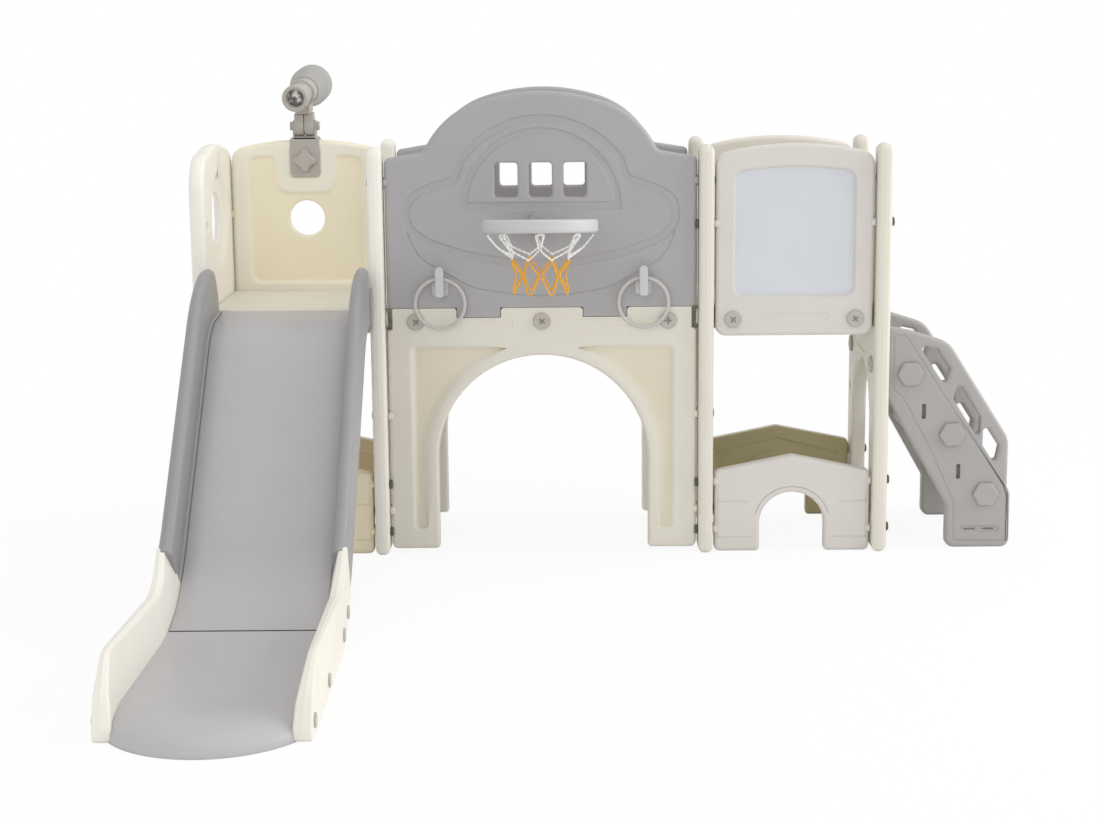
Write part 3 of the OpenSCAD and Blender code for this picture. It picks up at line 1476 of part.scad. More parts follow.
// Dark bolts: heads in the frames' seats, shanks through the bosses
module bolt(side) {
    rotate([0, 90 * side, 0]) {
        cylinder(r = bolt_head_r, h = boss_seat);
        cylinder(r = bolt_r, h = frame_t + panel_gap + bolt_grip);
    }
}
module bolt_row(x0, x1, heights) {
    for (y = [panel_mid, rear_y + panel_mid], z = heights) {
        translate([x0 - frame_t, y, z]) bolt(1);
        translate([x1 + frame_t, y, z]) bolt(-1);
    }
}
module panel_bolts() {
    color(bolt_dark) placed() {
        bolt_row(-inner_x, inner_x, concat(arch_bosses, dome_bosses));
        bolt_row(tower_in, tower_out, concat(low_bosses, upper_bosses));
        bolt_row(-tower_out, -tower_in, low_bosses);
        translate([0, rear_y, 0]) for (z = upper_bosses) {
            translate([-outer_x, panel_mid, z]) bolt(1);
            translate([-inner_x, panel_mid, z]) bolt(-1);
        }
    }
}

side_wall_left();
side_frame_slide();
side_frame_board();
side_frame_stair();
platform_left();
platform_bridge();
platform_right();
arch_front();
arch_rear();
dome_front();
dome_rear();
low_wall_left_front();
low_wall_left_rear();
low_wall_right_front();
low_wall_right_rear();
lookout_panel();
board_frame();
white_board();
rear_panel_right();
slide_trough();
slide_rail_left();
slide_rail_right();
slide_nose();
slide_guard_left();
slide_guard_right();
guard_screws();
stair_side_front();
stair_side_rear();
stair_tread_low();
stair_tread_middle();
stair_tread_top();
stair_caps();
stair_screws();
hoop_bracket();
hoop_rim();
net_upper();
net_lower();
hook_left();
hook_right();
ring_left();
ring_right();
telescope_clip();
star_knob();
tilt_pin();
tilt_knuckle();
telescope_tube();
eyepiece_cup();
eyepiece_lens();
objective_hood();
objective_lens();
panel_screws_front();
panel_screws_rear();
corner_screws();
panel_bolts();
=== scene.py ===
from math import acos, asin, atan2, cos, degrees, hypot, pi, radians, sin, sqrt, tan

import bmesh
import bpy
from mathutils import Matrix, Vector


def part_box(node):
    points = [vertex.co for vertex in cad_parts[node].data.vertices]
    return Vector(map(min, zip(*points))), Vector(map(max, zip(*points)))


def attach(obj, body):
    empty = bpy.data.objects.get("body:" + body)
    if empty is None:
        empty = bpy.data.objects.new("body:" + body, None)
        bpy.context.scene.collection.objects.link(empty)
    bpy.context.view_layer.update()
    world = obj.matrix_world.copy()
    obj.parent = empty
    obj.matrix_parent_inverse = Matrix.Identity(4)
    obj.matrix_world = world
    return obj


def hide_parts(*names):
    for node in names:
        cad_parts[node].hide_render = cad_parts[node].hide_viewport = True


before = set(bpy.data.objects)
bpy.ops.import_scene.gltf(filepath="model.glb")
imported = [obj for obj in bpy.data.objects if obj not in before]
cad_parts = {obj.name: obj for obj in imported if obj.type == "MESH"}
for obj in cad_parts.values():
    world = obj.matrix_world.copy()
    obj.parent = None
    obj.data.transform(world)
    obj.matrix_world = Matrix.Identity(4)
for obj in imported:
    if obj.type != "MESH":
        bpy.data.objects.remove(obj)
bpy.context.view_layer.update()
scene = bpy.context.scene

# The gym's own millimetres: x = 0 in the middle of the bridge, y = 0 on the front panels' faces
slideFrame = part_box("side_frame_slide")
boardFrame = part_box("side_frame_board")
home = Vector(((slideFrame[1].x + boardFrame[0].x) / 2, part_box("arch_front")[0].y, 0))
toFrame = Matrix.Translation(home) @ Matrix.Scale(0.001, 4)


def addObject(name, data):
    made = bpy.data.objects.new(name, data)
    scene.collection.objects.link(made)
    return made


camera = {"place": (54.9, -4800.3, 1240.2), "pitch": 10.539, "yaw": -0.451, "roll": -0.551, "lens": 66.67}


def addCamera():
    pitch, yaw, roll = (radians(camera[key]) for key in ("pitch", "yaw", "roll"))
    ahead = Vector((sin(yaw) * cos(pitch), cos(yaw) * cos(pitch), -sin(pitch)))
    level = Vector((cos(yaw), -sin(yaw), 0))
    upright = level.cross(ahead)
    right = cos(roll) * level + sin(roll) * upright
    up = cos(roll) * upright - sin(roll) * level
    data = bpy.data.cameras.new("camera")
    data.sensor_fit = "HORIZONTAL"
    data.lens = camera["lens"]
    scene.camera = addObject("camera", data)
    turn = Matrix((right, up, -ahead)).transposed().to_4x4()
    scene.camera.matrix_world = Matrix.Translation(toFrame @ Vector(camera["place"])) @ turn


addCamera()
print("camera set")


class Shade:
    def __init__(self, tree, out=None):
        self.tree = tree
        self.out = out

    def node(self, kind, settings, sockets, result=0):
        made = self.tree.nodes.new(kind)
        for key, value in settings.items():
            setattr(made, key, value)
        for key, value in sockets.items():
            if isinstance(value, Shade):
                self.tree.links.new(value.out, made.inputs[key])
            else:
                made.inputs[key].default_value = value
        return Shade(self.tree, made.outputs[result] if made.outputs else None)

    def maths(self, operation, first, second):
        return self.node("ShaderNodeMath", {"operation": operation}, {0: first, 1: second})

    def mix(self, share, first, second):
        ends = [end if isinstance(end, Shade) else (*end, 1) for end in (first, second)]
        return self.node("ShaderNodeMix", {"data_type": "RGBA"}, {0: share, 6: ends[0], 7: ends[1]}, 2)

    def __add__(self, other):
        return self.maths("ADD", self, other)

    def __radd__(self, other):
        return self.maths("ADD", other, self)

    def __sub__(self, other):
        return self.maths("SUBTRACT", self, other)

    def __rsub__(self, other):
        return self.maths("SUBTRACT", other, self)

    def __mul__(self, other):
        return self.maths("MULTIPLY", self, other)


def linear(colour):
    parts = [c / 255 for c in colour]
    return [c / 12.92 if c <= 0.04045 else ((c + 0.055) / 1.055) ** 2.4 for c in parts]


def shadeOf(owner):
    owner.use_nodes = True
    owner.node_tree.nodes.clear()
    return Shade(owner.node_tree)


# What a look has where it doesn't say otherwise
usual = {"cloudScale": 7, "speckScale": 420, "peelScale": 260, "fine": 0.2, "spread": 0.03,
         "darker": 0.97, "rough": 0.42, "blotch": 0.14, "grit": 0.06, "peel": 0.00022, "wave": 0.0012,
         "bump": 0.6, "shine": 0.4}


def moulded(name, given):
    look = {**usual, **given}
    material = bpy.data.materials.new(name)
    shade = shadeOf(material)
    spot = shade.node("ShaderNodeTexCoord", {}, {}, "Object")
    spread = look["spread"]

    def noise(kind, detail, rough):
        sockets = {"Vector": spot, "Scale": look[kind + "Scale"], "Detail": detail, "Roughness": rough}
        return shade.node("ShaderNodeTexNoise", {"noise_dimensions": "3D"}, sockets, "Fac")

    def ramp(value, low, high):
        return shade.node("ShaderNodeMapRange", {}, {"Value": value, "From Min": low, "From Max": high})

    cloud, speck, peel = noise("cloud", 3, 0.55), noise("speck", 2, 0.6), noise("peel", 2, 0.5)
    toneAndGlint = cloud * (1 - look["fine"]) + speck * look["fine"]
    # Painted reflection: "glint" turns the tone's noise into a pale glint on the dark lens
    if "glint" in look:
        toneAndGlint = ramp(cloud, *look["glint"])

    def tint(paint):
        base = linear(paint["colour"])
        deep = linear(paint.get("deep", [c * look["darker"] for c in paint["colour"]]))
        return shade.mix(toneAndGlint, [c * (1 - spread) for c in deep], [c * (1 + spread) for c in base])

    colour = tint(look)
    # Painted light and shade by depth along Y: the "outside" colour takes over past "fade" and before "rim"
    if "outside" in look:
        depth = shade.node("ShaderNodeSeparateXYZ", {}, {"Vector": spot}, "Y")

        def beyond(near, far):
            return ramp(depth, home.y + near / 1000, home.y + far / 1000)

        share = beyond(*look["fade"])
        if "rim" in look:
            share = share + (1 - beyond(*look["rim"]))
        colour = shade.mix(share, colour, tint(look["outside"]))
    sheen = look["rough"] + (cloud - 0.5) * look["blotch"] + (speck - 0.5) * look["grit"]
    height = peel * look["peel"] + cloud * look["wave"]
    bump = shade.node("ShaderNodeBump", {}, {"Strength": look["bump"], "Distance": 1.0, "Height": height})
    sockets = {"Base Color": colour, "Roughness": sheen, "Normal": bump, "Specular IOR Level": look["shine"]}
    skin = shade.node("ShaderNodeBsdfPrincipled", {}, sockets)
    shade.node("ShaderNodeOutputMaterial", {}, {"Surface": skin})
    return material


# A copy of the cream plastic, with light or shade painted into its colour
def creamy(colour, deep, **more):
    return {"colour": colour, "deep": deep, "slot": "cream", **more}


# An "outside" look takes over from the first to the second depth of "fade", and before those of "rim"; the
# cream copies use this to paint shade and warm light onto inner faces and sunk fields, and the slide's bed
# uses it to paint the seam's shadow
plain = {"colour": (226, 222, 210), "deep": (223, 218, 205)}
# Painted light: a lighter copy of cream, for the lookout's rim and far side
pale = {"colour": (246, 242, 230), "deep": (243, 238, 224)}
slideGrey = {"colour": (190, 188, 189), "rough": 0.36}
cord = {"rough": 0.7, "speckScale": 1500, "peelScale": 1900, "peel": 0.0004}
looks = {
    "cream": plain,
    # Painted shade: a darker, greyer copy of cream for the board frame and the right front low wall
    "creamCool": creamy((217, 213, 207), (213, 208, 201)),
    # Painted light: a lighter copy of cream
    "creamLit": creamy((245, 242, 233), (243, 238, 227)),
    # Painted light: the lookout is lighter than cream, with a warm yellow glow painted into its sunk inner
    # field
    "creamWarm": creamy((250, 241, 213), (247, 236, 204), outside=pale, fade=(384, 390), rim=(375, 382)),
    # Painted shade: a warmer, darker cream in the front arch's pockets, plain cream on its faces
    "creamArch": creamy((227, 218, 197), (222, 209, 182), outside=plain, fade=(10, 13), rim=(1, 12)),
    # Painted shadow: a dark olive cream on the right rear low wall's inner face, plain cream past it
    "creamShade": creamy((178, 167, 130), (166, 154, 114), outside=plain, fade=(382, 388)),
    # Painted light: a lighter, warmer cream where the slide's shadow falls on the left front low wall
    "creamGlow": creamy((250, 239, 212), (247, 233, 202)),
    # Painted shade: a warm tan on the left rear low wall's inner face, plain cream past it
    "creamTan": creamy((228, 213, 174), (221, 203, 160), outside=plain, fade=(382, 388)),
    # Painted light: a near-white copy of cream for the right guard's brightly lit outer face
    "creamBright": creamy((238, 235, 224), (236, 231, 219)),
    "dome_grey": {"colour": (173, 171, 172)},
    "slide_grey": slideGrey,
    # Painted shadow: dark grey on the trough's last millimetres at the seam with the nose, the slide's grey
    # elsewhere
    "bedGrey": {"colour": (84, 83, 85), "rough": 0.36, "slot": "slide_grey", "outside": slideGrey,
                "fade": (-812.6, -811.6)},
    # Painted shade: a darker copy of the slide's grey for the rails
    "railGrey": {"colour": (157, 156, 157), "rough": 0.36, "slot": "slide_grey"},
    "stair_grey": {"colour": (173, 170, 167)},
    "trim_grey": {"colour": (188, 183, 175)},
    # Painted shade: a darker copy of the trim grey for the telescope's hood
    "hoodGrey": {"colour": (174, 172, 168), "slot": "trim_grey"},
    "pale_grey": {"colour": (204, 202, 203)},
    "ring_grey": {"colour": (198, 196, 190)},
    "board_white": {"colour": (214, 217, 223), "rough": 0.25, "wave": 0.0004, "peel": 0.00005},
    "cord_white": {"colour": (242, 242, 240), **cord},
    "cord_orange": {"colour": (242, 176, 46), "spread": 0.08, **cord},
    "bolt_dark": {"colour": (84, 82, 76), "rough": 0.38, "shine": 0.6},
    # Painted reflection: the pale colour is a glint laid on the dark lens
    "lens": {"colour": (222, 218, 212), "deep": (84, 72, 68), "rough": 0.12, "shine": 0.9, "wave": 0.0001,
             "peel": 0.00002, "cloudScale": 46, "glint": (0.5, 0.62)},
}
finishes = {name: moulded(name, look) for name, look in looks.items()}
print("materials made")

stage = {"floor": (250, 250, 250), "grain": (3.0, 2.0, 0.98), "rough": 0.9, "reach": 30, "sky": 0.72,
         "shadow": 0.1, "near": 1.2, "far": 3.2, "aim": (0, 0, 0.6),
         "lamps": {"left": ((-2.0, -5.4, 2.8), 3.2, 42), "right": ((5.0, 0.0, 2.6), 3.5, 140),
                   "top": ((0.2, 0.4, 4.6), 4.0, 30)}}


def addFloor():
    material = bpy.data.materials.new("floor")
    shade = shadeOf(material)
    spot = shade.node("ShaderNodeTexCoord", {}, {}, "Object")
    scale, detail, darker = stage["grain"]
    grain = shade.node("ShaderNodeTexNoise", {}, {"Vector": spot, "Scale": scale, "Detail": detail}, "Fac")
    tone = linear(stage["floor"])
    colour = shade.mix(grain, [c * darker for c in tone], tone)
    paper = shade.node("ShaderNodeBsdfPrincipled", {}, {"Base Color": colour, "Roughness": stage["rough"]})
    white = shade.node("ShaderNodeEmission", {}, {"Color": (1, 1, 1, 1), "Strength": 1.0})
    seen = shade.node("ShaderNodeLightPath", {}, {}, "Is Camera Ray")
    away = shade.node("ShaderNodeVectorMath", {"operation": "LENGTH"}, {0: spot}, "Value")
    fade = shade.node("ShaderNodeMapRange", {"interpolation_type": "SMOOTHSTEP"},
                      {"Value": away, "From Min": stage["near"], "From Max": stage["far"],
                       "To Min": 1 - stage["shadow"], "To Max": 1.0})
    blend = shade.node("ShaderNodeMixShader", {}, {0: seen * fade, 1: paper, 2: white})
    shade.node("ShaderNodeOutputMaterial", {}, {"Surface": blend})
    bm = bmesh.new()
    bmesh.ops.create_grid(bm, x_segments=8, y_segments=8, size=stage["reach"])
    mesh = bpy.data.meshes.new("floor")
    bm.to_mesh(mesh)
    bm.free()
    mesh.materials.append(material)
    addObject("floor", mesh)


def addLight():
    scene.world = bpy.data.worlds.new("studio")
    air = shadeOf(scene.world)
    seen = air.node("ShaderNodeLightPath", {}, {}, "Is Camera Ray")
    strength = seen * (1 - stage["sky"]) + stage["sky"]
    sky = air.node("ShaderNodeBackground", {}, {"Color": (1, 1, 1, 1), "Strength": strength})
    air.node("ShaderNodeOutputWorld", {}, {"Surface": sky})
    scene.view_settings.view_transform = "Standard"
    for name, (place, size, energy) in stage["lamps"].items():
        data = bpy.data.lights.new(name, "AREA")
        data.energy = energy
        data.size = size
        lamp = addObject(name, data)
        lamp.location = place
        lamp.rotation_euler = (Vector(stage["aim"]) - lamp.location).to_track_quat("-Z", "Y").to_euler()


addFloor()
addLight()
print("stage set")

# Outlines are lists of (x, z) points, anticlockwise; corners to be rounded are (x, z, radius)
shaping = {"cornerSteps": 7, "edgeSteps": 4, "stepSteps": 6, "support": 1.2, "seam": 0.35,
           "seamHalf": 1.4, "mitre": 0.4, "clear": 0.5, "smooth": radians(42), "merge": 0.005,
           "sliver": 1e-7}


def arc(x, z, radius, start, end, steps):
    turns = [radians(start + (end - start) * k / steps) for k in range(steps + 1)]
    return [(x + radius * cos(a), z + radius * sin(a)) for a in turns]


def circle(x, z, radius, steps):
    return arc(x, z, radius, 0, 360 - 360 / steps, steps - 1)


def sharp(path):
    return [(x, z, 0) for x, z in path]


def mirrored(path):
    return [(-x, *rest) for x, *rest in reversed(path)]


def rounded(corners, steps=shaping["cornerSteps"]):
    path = []
    for i, (x, z, radius) in enumerate(corners):
        if not radius:
            path.append((x, z))
            continue
        tip = Vector((x, z))
        back = (Vector(corners[i - 1][:2]) - tip).normalized()
        on = (Vector(corners[(i + 1) % len(corners)][:2]) - tip).normalized()
        half = back.angle(on) / 2
        centre = tip + (back + on).normalized() * radius / sin(half)
        first = tip + back * radius / tan(half) - centre
        last = tip + on * radius / tan(half) - centre
        turn = atan2(first.x * last.y - first.y * last.x, first.dot(last))
        start = degrees(atan2(first.y, first.x))
        path += arc(centre.x, centre.y, radius, start, start + degrees(turn), steps)
    return path


def box(x0, z0, x1, z1, radius):
    return rounded([(x0, z0, radius), (x1, z0, radius), (x1, z1, radius), (x0, z1, radius)])


def block(x, z, wide, tall, radius):
    return box(x - wide / 2, z - tall / 2, x + wide / 2, z + tall / 2, radius)


def inset(path, distance, ease=None):
    moved = []
    for i, (x, z) in enumerate(path):
        a, b = path[i - 1], path[(i + 1) % len(path)]
        u = Vector((x - a[0], z - a[1])).normalized()
        v = Vector((b[0] - x, b[1] - z)).normalized()
        share = distance * (ease(x, z) if ease else 1) / max(1 + u.dot(v), shaping["mitre"])
        moved.append((x - (u.y + v.y) * share, z + (u.x + v.x) * share))
    return moved


def strip(line, width):
    left, right = [], []
    for i, (x, z) in enumerate(line):
        a, b = line[max(i - 1, 0)], line[min(i + 1, len(line) - 1)]
        along = Vector((b[0] - a[0], b[1] - a[1])).normalized() * width / 2
        left.append((x - along.y, z + along.x))
        right.append((x + along.y, z - along.x))
    return right + left[::-1]


def smoothLine(points, count):
    knots = [Vector((*p, 0)) for p in points]
    line = []
    for i in range(len(knots) - 1):
        p0, p1, p2 = knots[max(i - 1, 0)], knots[i], knots[i + 1]
        p3 = knots[min(i + 2, len(knots) - 1)]
        for k in range(count):
            t = k / count
            q = 0.5 * (2 * p1 + (p2 - p0) * t + (2 * p0 - 5 * p1 + 4 * p2 - p3) * t * t
                       + (3 * p1 - p0 - 3 * p2 + p3) * t ** 3)
            line.append((q.x, q.y))
    return line + [tuple(knots[-1][:2])]


# Profiles are lists of (distance in from the outline, y)
def throughProfile(edge, front, back, sign):
    turns = [pi / 2 * k / shaping["edgeSteps"] for k in range(shaping["edgeSteps"] + 1)]
    bend = [(edge * (1 - sin(a)), edge * (1 - cos(a))) for a in turns]
    lead = [(edge + shaping["support"], 0)] + bend
    middle = (front + back) / 2
    seam = [(0, middle - shaping["seamHalf"]), (-shaping["seam"], middle), (0, middle + shaping["seamHalf"])]
    path = [(d, front + y) for d, y in lead] + seam + [(d, back - y) for d, y in lead[::-1]]
    return [(sign * d, y) for d, y in path]


def stepProfile(level, depth, soft):
    count = shaping["stepSteps"]
    slope = [(soft * (2 * k / count - 1), level + depth * (1 - cos(pi * k / count)) / 2)
             for k in range(count + 1)]
    margin = soft + shaping["support"]
    return [(-margin, level)] + slope + [(margin, level + depth)]


# A feature of a panel's face: a step down by depth along a path, or a hole through it
def cut(path, depth, soft, **more):
    return {"path": path, "depth": depth, "soft": soft, **more}


def holeLevels(features, level, found):
    for feature in features:
        if "hole" in feature:
            found[feature["hole"]] = level
        else:
            holeLevels(feature.get("inside", []), level + feature["depth"], found)
    return found


def bridge(bm, rings, looped=False):
    for a, b in list(zip(rings, rings[1:])) + ([(rings[-1], rings[0])] if looped else []):
        for i in range(len(a)):
            bm.faces.new((a[i - 1], a[i], b[i], b[i - 1]))


# A panel's faces: y = 0 is its outer face and y = thick its inner one
class Panel:
    def __init__(self, thick, edge):
        self.bm = bmesh.new()
        self.thick = thick
        self.edge = edge
        self.holes = {}

    def skin(self, path, profile, ease=None):
        rings = [[self.bm.verts.new((x, y, z)) for x, z in inset(path, d, ease)] for d, y in profile]
        bridge(self.bm, rings)
        return rings[0], rings[-1]

    def fill(self, loops):
        edges = [self.bm.edges.get((loop[i - 1], loop[i])) for loop in loops for i in range(len(loop))]
        bmesh.ops.triangle_fill(self.bm, use_beauty=True, use_dissolve=False, edges=edges)

    def sink(self, features, level, side):
        loops = []
        for feature in features:
            if "hole" in feature:
                loops.append(self.holes[feature["hole"]][side])
                continue
            profile = stepProfile(level, feature["depth"], feature["soft"])
            if side:
                profile = [(d, self.thick - y) for d, y in profile]
            first, last = self.skin(feature["path"], profile, feature.get("ease"))
            inner = self.sink(feature.get("inside", []), level + feature["depth"], side)
            self.fill([last] + inner)
            loops.append(first)
        return loops

    def mould(self, outline, front=(), back=(), holes=None, ease=None):
        ends = self.skin(outline, throughProfile(self.edge, 0, self.thick, 1), ease)
        fronts, backs = holeLevels(front, 0, {}), holeLevels(back, 0, {})
        for name, (path, edge, *softness) in (holes or {}).items():
            profile = throughProfile(edge, fronts[name], self.thick - backs[name], -1)
            self.holes[name] = self.skin(path, profile, *softness)
        self.fill([ends[0]] + self.sink(front, 0, 0))
        self.fill([ends[1]] + self.sink(back, 0, 1))
        return self.bm


def loft(rings, capped=True, looped=False, bm=None):
    bm = bm or bmesh.new()
    made = [[bm.verts.new(p) for p in ring] for ring in rings]
    bridge(bm, made, looped)
    if capped:
        bm.faces.new(made[0])
        bm.faces.new(made[-1])
    return bm


def lathe(profile, matrix, steps, closed=False, bm=None):
    turns = [2 * pi * k / steps for k in range(steps)]
    rings = [[matrix @ Vector((r * cos(a), r * sin(a), h)) for a in turns] for r, h in profile]
    return loft(rings, False, closed, bm)


def roundedDisc(radius, height, edge, steps=4):
    top = [(radius - edge + x, height - edge + z) for x, z in arc(0, 0, edge, 0, 90, steps)]
    low = [(radius - edge + x, edge + z) for x, z in arc(0, 0, edge, -90, 0, steps)]
    return [(0, 0)] + low + top + [(0, height)]


# Axis of a turned piece along X or Y, a panel's face turned up, and one turned to the side
alongX = Matrix(((0, 0, 1), (1, 0, 0), (0, 1, 0))).to_4x4()
alongY = Matrix(((1, 0, 0), (0, 0, 1), (0, 1, 0))).to_4x4()
faceUp = Matrix(((1, 0, 0), (0, 0, 1), (0, -1, 0))).to_4x4()
sideways = Matrix(((0, 1, 0), (1, 0, 0), (0, 0, 1))).to_4x4()


def at(x, y, z):
    return Matrix.Translation((x, y, z))


def flip(x, y):
    return Matrix.Diagonal((x, y, 1, 1))


def sideAt(x):
    return at(x, 0, 0) @ sideways


def join(bm, other, matrix):
    bmesh.ops.transform(other, matrix=matrix, verts=other.verts)
    mesh = bpy.data.meshes.new("part")
    other.to_mesh(mesh)
    other.free()
    bm.from_mesh(mesh)
    bpy.data.meshes.remove(mesh)
    return bm


def smoothMesh(bm, name, material, place=None):
    if place:
        bmesh.ops.transform(bm, matrix=place, verts=bm.verts)
    bmesh.ops.remove_doubles(bm, verts=bm.verts, dist=shaping["merge"])
    slivers = [f for f in bm.faces if f.calc_area() < shaping["sliver"]]
    bmesh.ops.delete(bm, geom=slivers, context="FACES")
    bmesh.ops.recalc_face_normals(bm, faces=bm.faces)
    mesh = bpy.data.meshes.new(name)
    bm.to_mesh(mesh)
    bm.free()
    mesh.transform(toFrame)
    mesh.polygons.foreach_set("use_smooth", [True] * len(mesh.polygons))
    mesh.set_sharp_from_angle(angle=shaping["smooth"])
    mesh.materials.append(material)
    return mesh


# A piece takes its node's name and what it is; its shape is a mesh or still to be made into one
def addPiece(node, kind, shape, finish, place=None, body="gym"):
    name = node + "_" + kind
    if isinstance(shape, bmesh.types.BMesh):
        shape = smoothMesh(shape, name, finishes[finish], place)
    piece = addObject(name, shape)
    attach(piece, body)
    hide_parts(node)


# Bosses and nubs hold (reach past the gap, y, disc, steps)
gym = {"panel": 36, "lap": 20, "backY": 412, "rearY": 376, "innerX": 372, "towerIn": 408, "towerOut": 790,
       "outerX": 826, "towerX": 599, "towerHalf": 187, "bridgeHalf": 368, "deck": 600, "deckThick": 60,
       "postHeight": 980, "gap": 4, "bossY": (18, 394), "boss": (6, 18, (13, 18, 1.5), 36),
       "nub": (-0.2, 4, (9, 13, 5), 28)}
lowBosses, archBosses, domeBosses, upperBosses = (55.44, 172.26), (106.7, 339.5), (897,), (795,)


def frontAt(x):
    return at(x, 0, 0)


def rearAt(x):
    return at(x, gym["backY"], 0) @ flip(1, -1)


def addBosses(bm, half, heights):
    for z in heights:
        for side in (-1, 1):
            for reach, y, disc, steps in (gym["boss"], gym["nub"]):
                place = at(side * (half + gym["gap"] + reach), y, z)
                lathe(roundedDisc(*disc), place @ flip(-side, 1) @ alongX, steps, bm=bm)
    return bm


# Side frames: two posts, a crawl arch below and an open passage above
sideFrame = {"edge": 11, "post": 66, "crawl": (280, 440), "foot": 12, "topRadius": 22, "passage": 14,
             "seat": (13.3, 6, 0.8), "slot": (116, 462, 13, 5), "slotCut": (2, 1.2)}


def seats(heights):
    radius, depth, soft = sideFrame["seat"]
    return [cut(circle(y, z, radius, 28), depth, soft) for y in gym["bossY"] for z in heights]


def sideFrameMesh():
    f, b = -gym["lap"], gym["backY"] + gym["lap"]
    top, deck, middle = gym["postHeight"], gym["deck"], gym["backY"] / 2
    wide, high = sideFrame["crawl"]
    half, post = wide / 2, sideFrame["post"]
    foot, r, p = sideFrame["foot"], sideFrame["topRadius"], sideFrame["passage"]
    crawl = sharp(arc(middle, high - half, half, 180, 0, 32))
    outline = rounded([(f, 0, foot), (middle - half, 0, foot)] + crawl + [
        (middle + half, 0, foot), (b, 0, foot), (b, top, r), (b - post, top, r), (b - post, deck, p),
        (f + post, deck, p), (f + post, top, r), (f, top, r)])
    length, low, tall, radius = sideFrame["slot"]
    slot = cut(box(middle - length / 2, low, middle + length / 2, low + tall, radius), *sideFrame["slotCut"])
    relief = seats(lowBosses + archBosses + domeBosses + upperBosses) + [slot]
    bm = Panel(gym["panel"], sideFrame["edge"]).mould(outline, relief, relief)
    half = gym["panel"] / 2
    for v in bm.verts:
        over = max(v.co.z - (top - half), half - v.co.z, 0)
        limit = sqrt(max(half ** 2 - over ** 2, 0.01))
        v.co.y = half + max(-limit, min(limit, v.co.y - half))
    return bm


for node, x, finish in (("side_frame_slide", -gym["towerIn"], "creamLit"),
                        ("side_frame_board", gym["innerX"], "cream"),
                        ("side_frame_stair", gym["towerOut"], "cream")):
    addPiece(node, "post", sideFrameMesh(), finish, sideAt(x))
print("side frames")

closedWall = {"edge": 11, "foot": 14, "corner": 92, "crown": (520, 77, 103, 12), "shoulder": 3,
              "eye": (206, 800, 64, 2.5), "dish": (104, 20), "dishIn": 12, "dishOut": 18,
              "groove": (12, 905, 962, 8), "grooveCut": (2.5, 2.5)}


def closedWallMesh():
    f, b, foot, r = -gym["lap"], gym["backY"] + gym["lap"], closedWall["foot"], closedWall["corner"]
    y, z, radius, edge = closedWall["eye"]
    bow, *sweep = closedWall["crown"]
    crown = sharp(arc(y, gym["postHeight"] - bow, bow, *sweep))
    shoulder = crown[0][1] - closedWall["shoulder"]
    outline = rounded([(f, 0, foot), (b, 0, foot), (b, shoulder, r)] + crown + [(f, shoulder, r)])
    size, soft = closedWall["dish"]
    outer, inner = (cut(circle(y, z, size, 56), closedWall[key], soft, inside=[{"hole": "eye"}])
                    for key in ("dishOut", "dishIn"))
    width, low, high, bend = closedWall["groove"]
    groove = cut(box(y - width, low, y + width, high, bend), *closedWall["grooveCut"])
    hollows = seats(lowBosses + upperBosses)
    holes = {"eye": (circle(y, z, radius, 56), edge)}
    panel = Panel(gym["panel"], closedWall["edge"])
    return panel.mould(outline, [outer] + hollows, [inner, groove] + hollows, holes)


addPiece("side_wall_left", "shell", closedWallMesh(), "creamLit", sideAt(-gym["outerX"]))
print("closed wall")

# Platforms lie between the frames; shallow lines run along them, as across the treads
platform = {"edge": 7, "corner": 8, "gap": 34, "ends": 24, "margin": 40, "half": 3,
            "line": (2.9, 1.6, 1.2)}


def deckMesh(x0, y0, x1, y1, thick, lines):
    radius, *depth = platform["line"]
    front = [cut(box(*line, radius), *depth) for line in lines]
    return Panel(thick, platform["edge"]).mould(box(x0, y0, x1, y1, platform["corner"]), front)


def platformMesh(x0, x1, y0):
    y1, gap, half, ends = gym["rearY"], platform["gap"], platform["half"], platform["ends"]
    count = int((y1 - y0 - platform["margin"]) / gap)
    start = (y0 + y1 - (count - 1) * gap) / 2
    lines = [(x0 + ends, start + k * gap - half, x1 - ends, start + k * gap + half) for k in range(count)]
    return deckMesh(x0, y0, x1, y1, gym["deckThick"], lines)


for node, *ends in (("platform_left", -gym["towerOut"], -gym["towerIn"], 0),
                    ("platform_bridge", -gym["innerX"], gym["innerX"], gym["panel"]),
                    ("platform_right", gym["towerIn"], gym["towerOut"], gym["panel"])):
    addPiece(node, "deck", platformMesh(*ends), "cream", at(0, 0, gym["deck"]) @ faceUp)
print("platforms")

arch = {"edge": 8, "foot": 12, "radius": 252, "spring": 233, "corner": 14, "footRadius": 9,
        "tab": (150, 104, 23), "play": 0.3, "notch": (12, 52), "bar": (-214, 554, -70, 572, 5),
        "barCut": (1.2, 1.2), "joint": 547, "ease": 0.1}
pocket = {"depth": 9, "soft": 8, "side": 309, "top": 504, "foot": 62, "reach": 282, "slope": 15,
          "wall": 8, "rise": 90, "rim": 2.5, "gaps": (24, 26, 30), "corners": (8, 10)}


# The pocket's wall is steep along the side and top and slopes gently up to the arch
def pocketSoft(x, z):
    spring, reach = arch["spring"], pocket["reach"]
    rim = hypot(x, z - spring) - reach if z > spring else -x - reach
    room = max(0, min(pocket["top"] - z, x + pocket["side"]))
    if abs(rim) < pocket["rim"]:
        share = min(pocket["slope"], 0.5 * room) * min(1, max(0.2, (z - pocket["foot"] + 8) / pocket["rise"]))
    else:
        share = min(pocket["wall"], 0.28 * rim)
    return max(share, 0.3) / pocket["soft"]


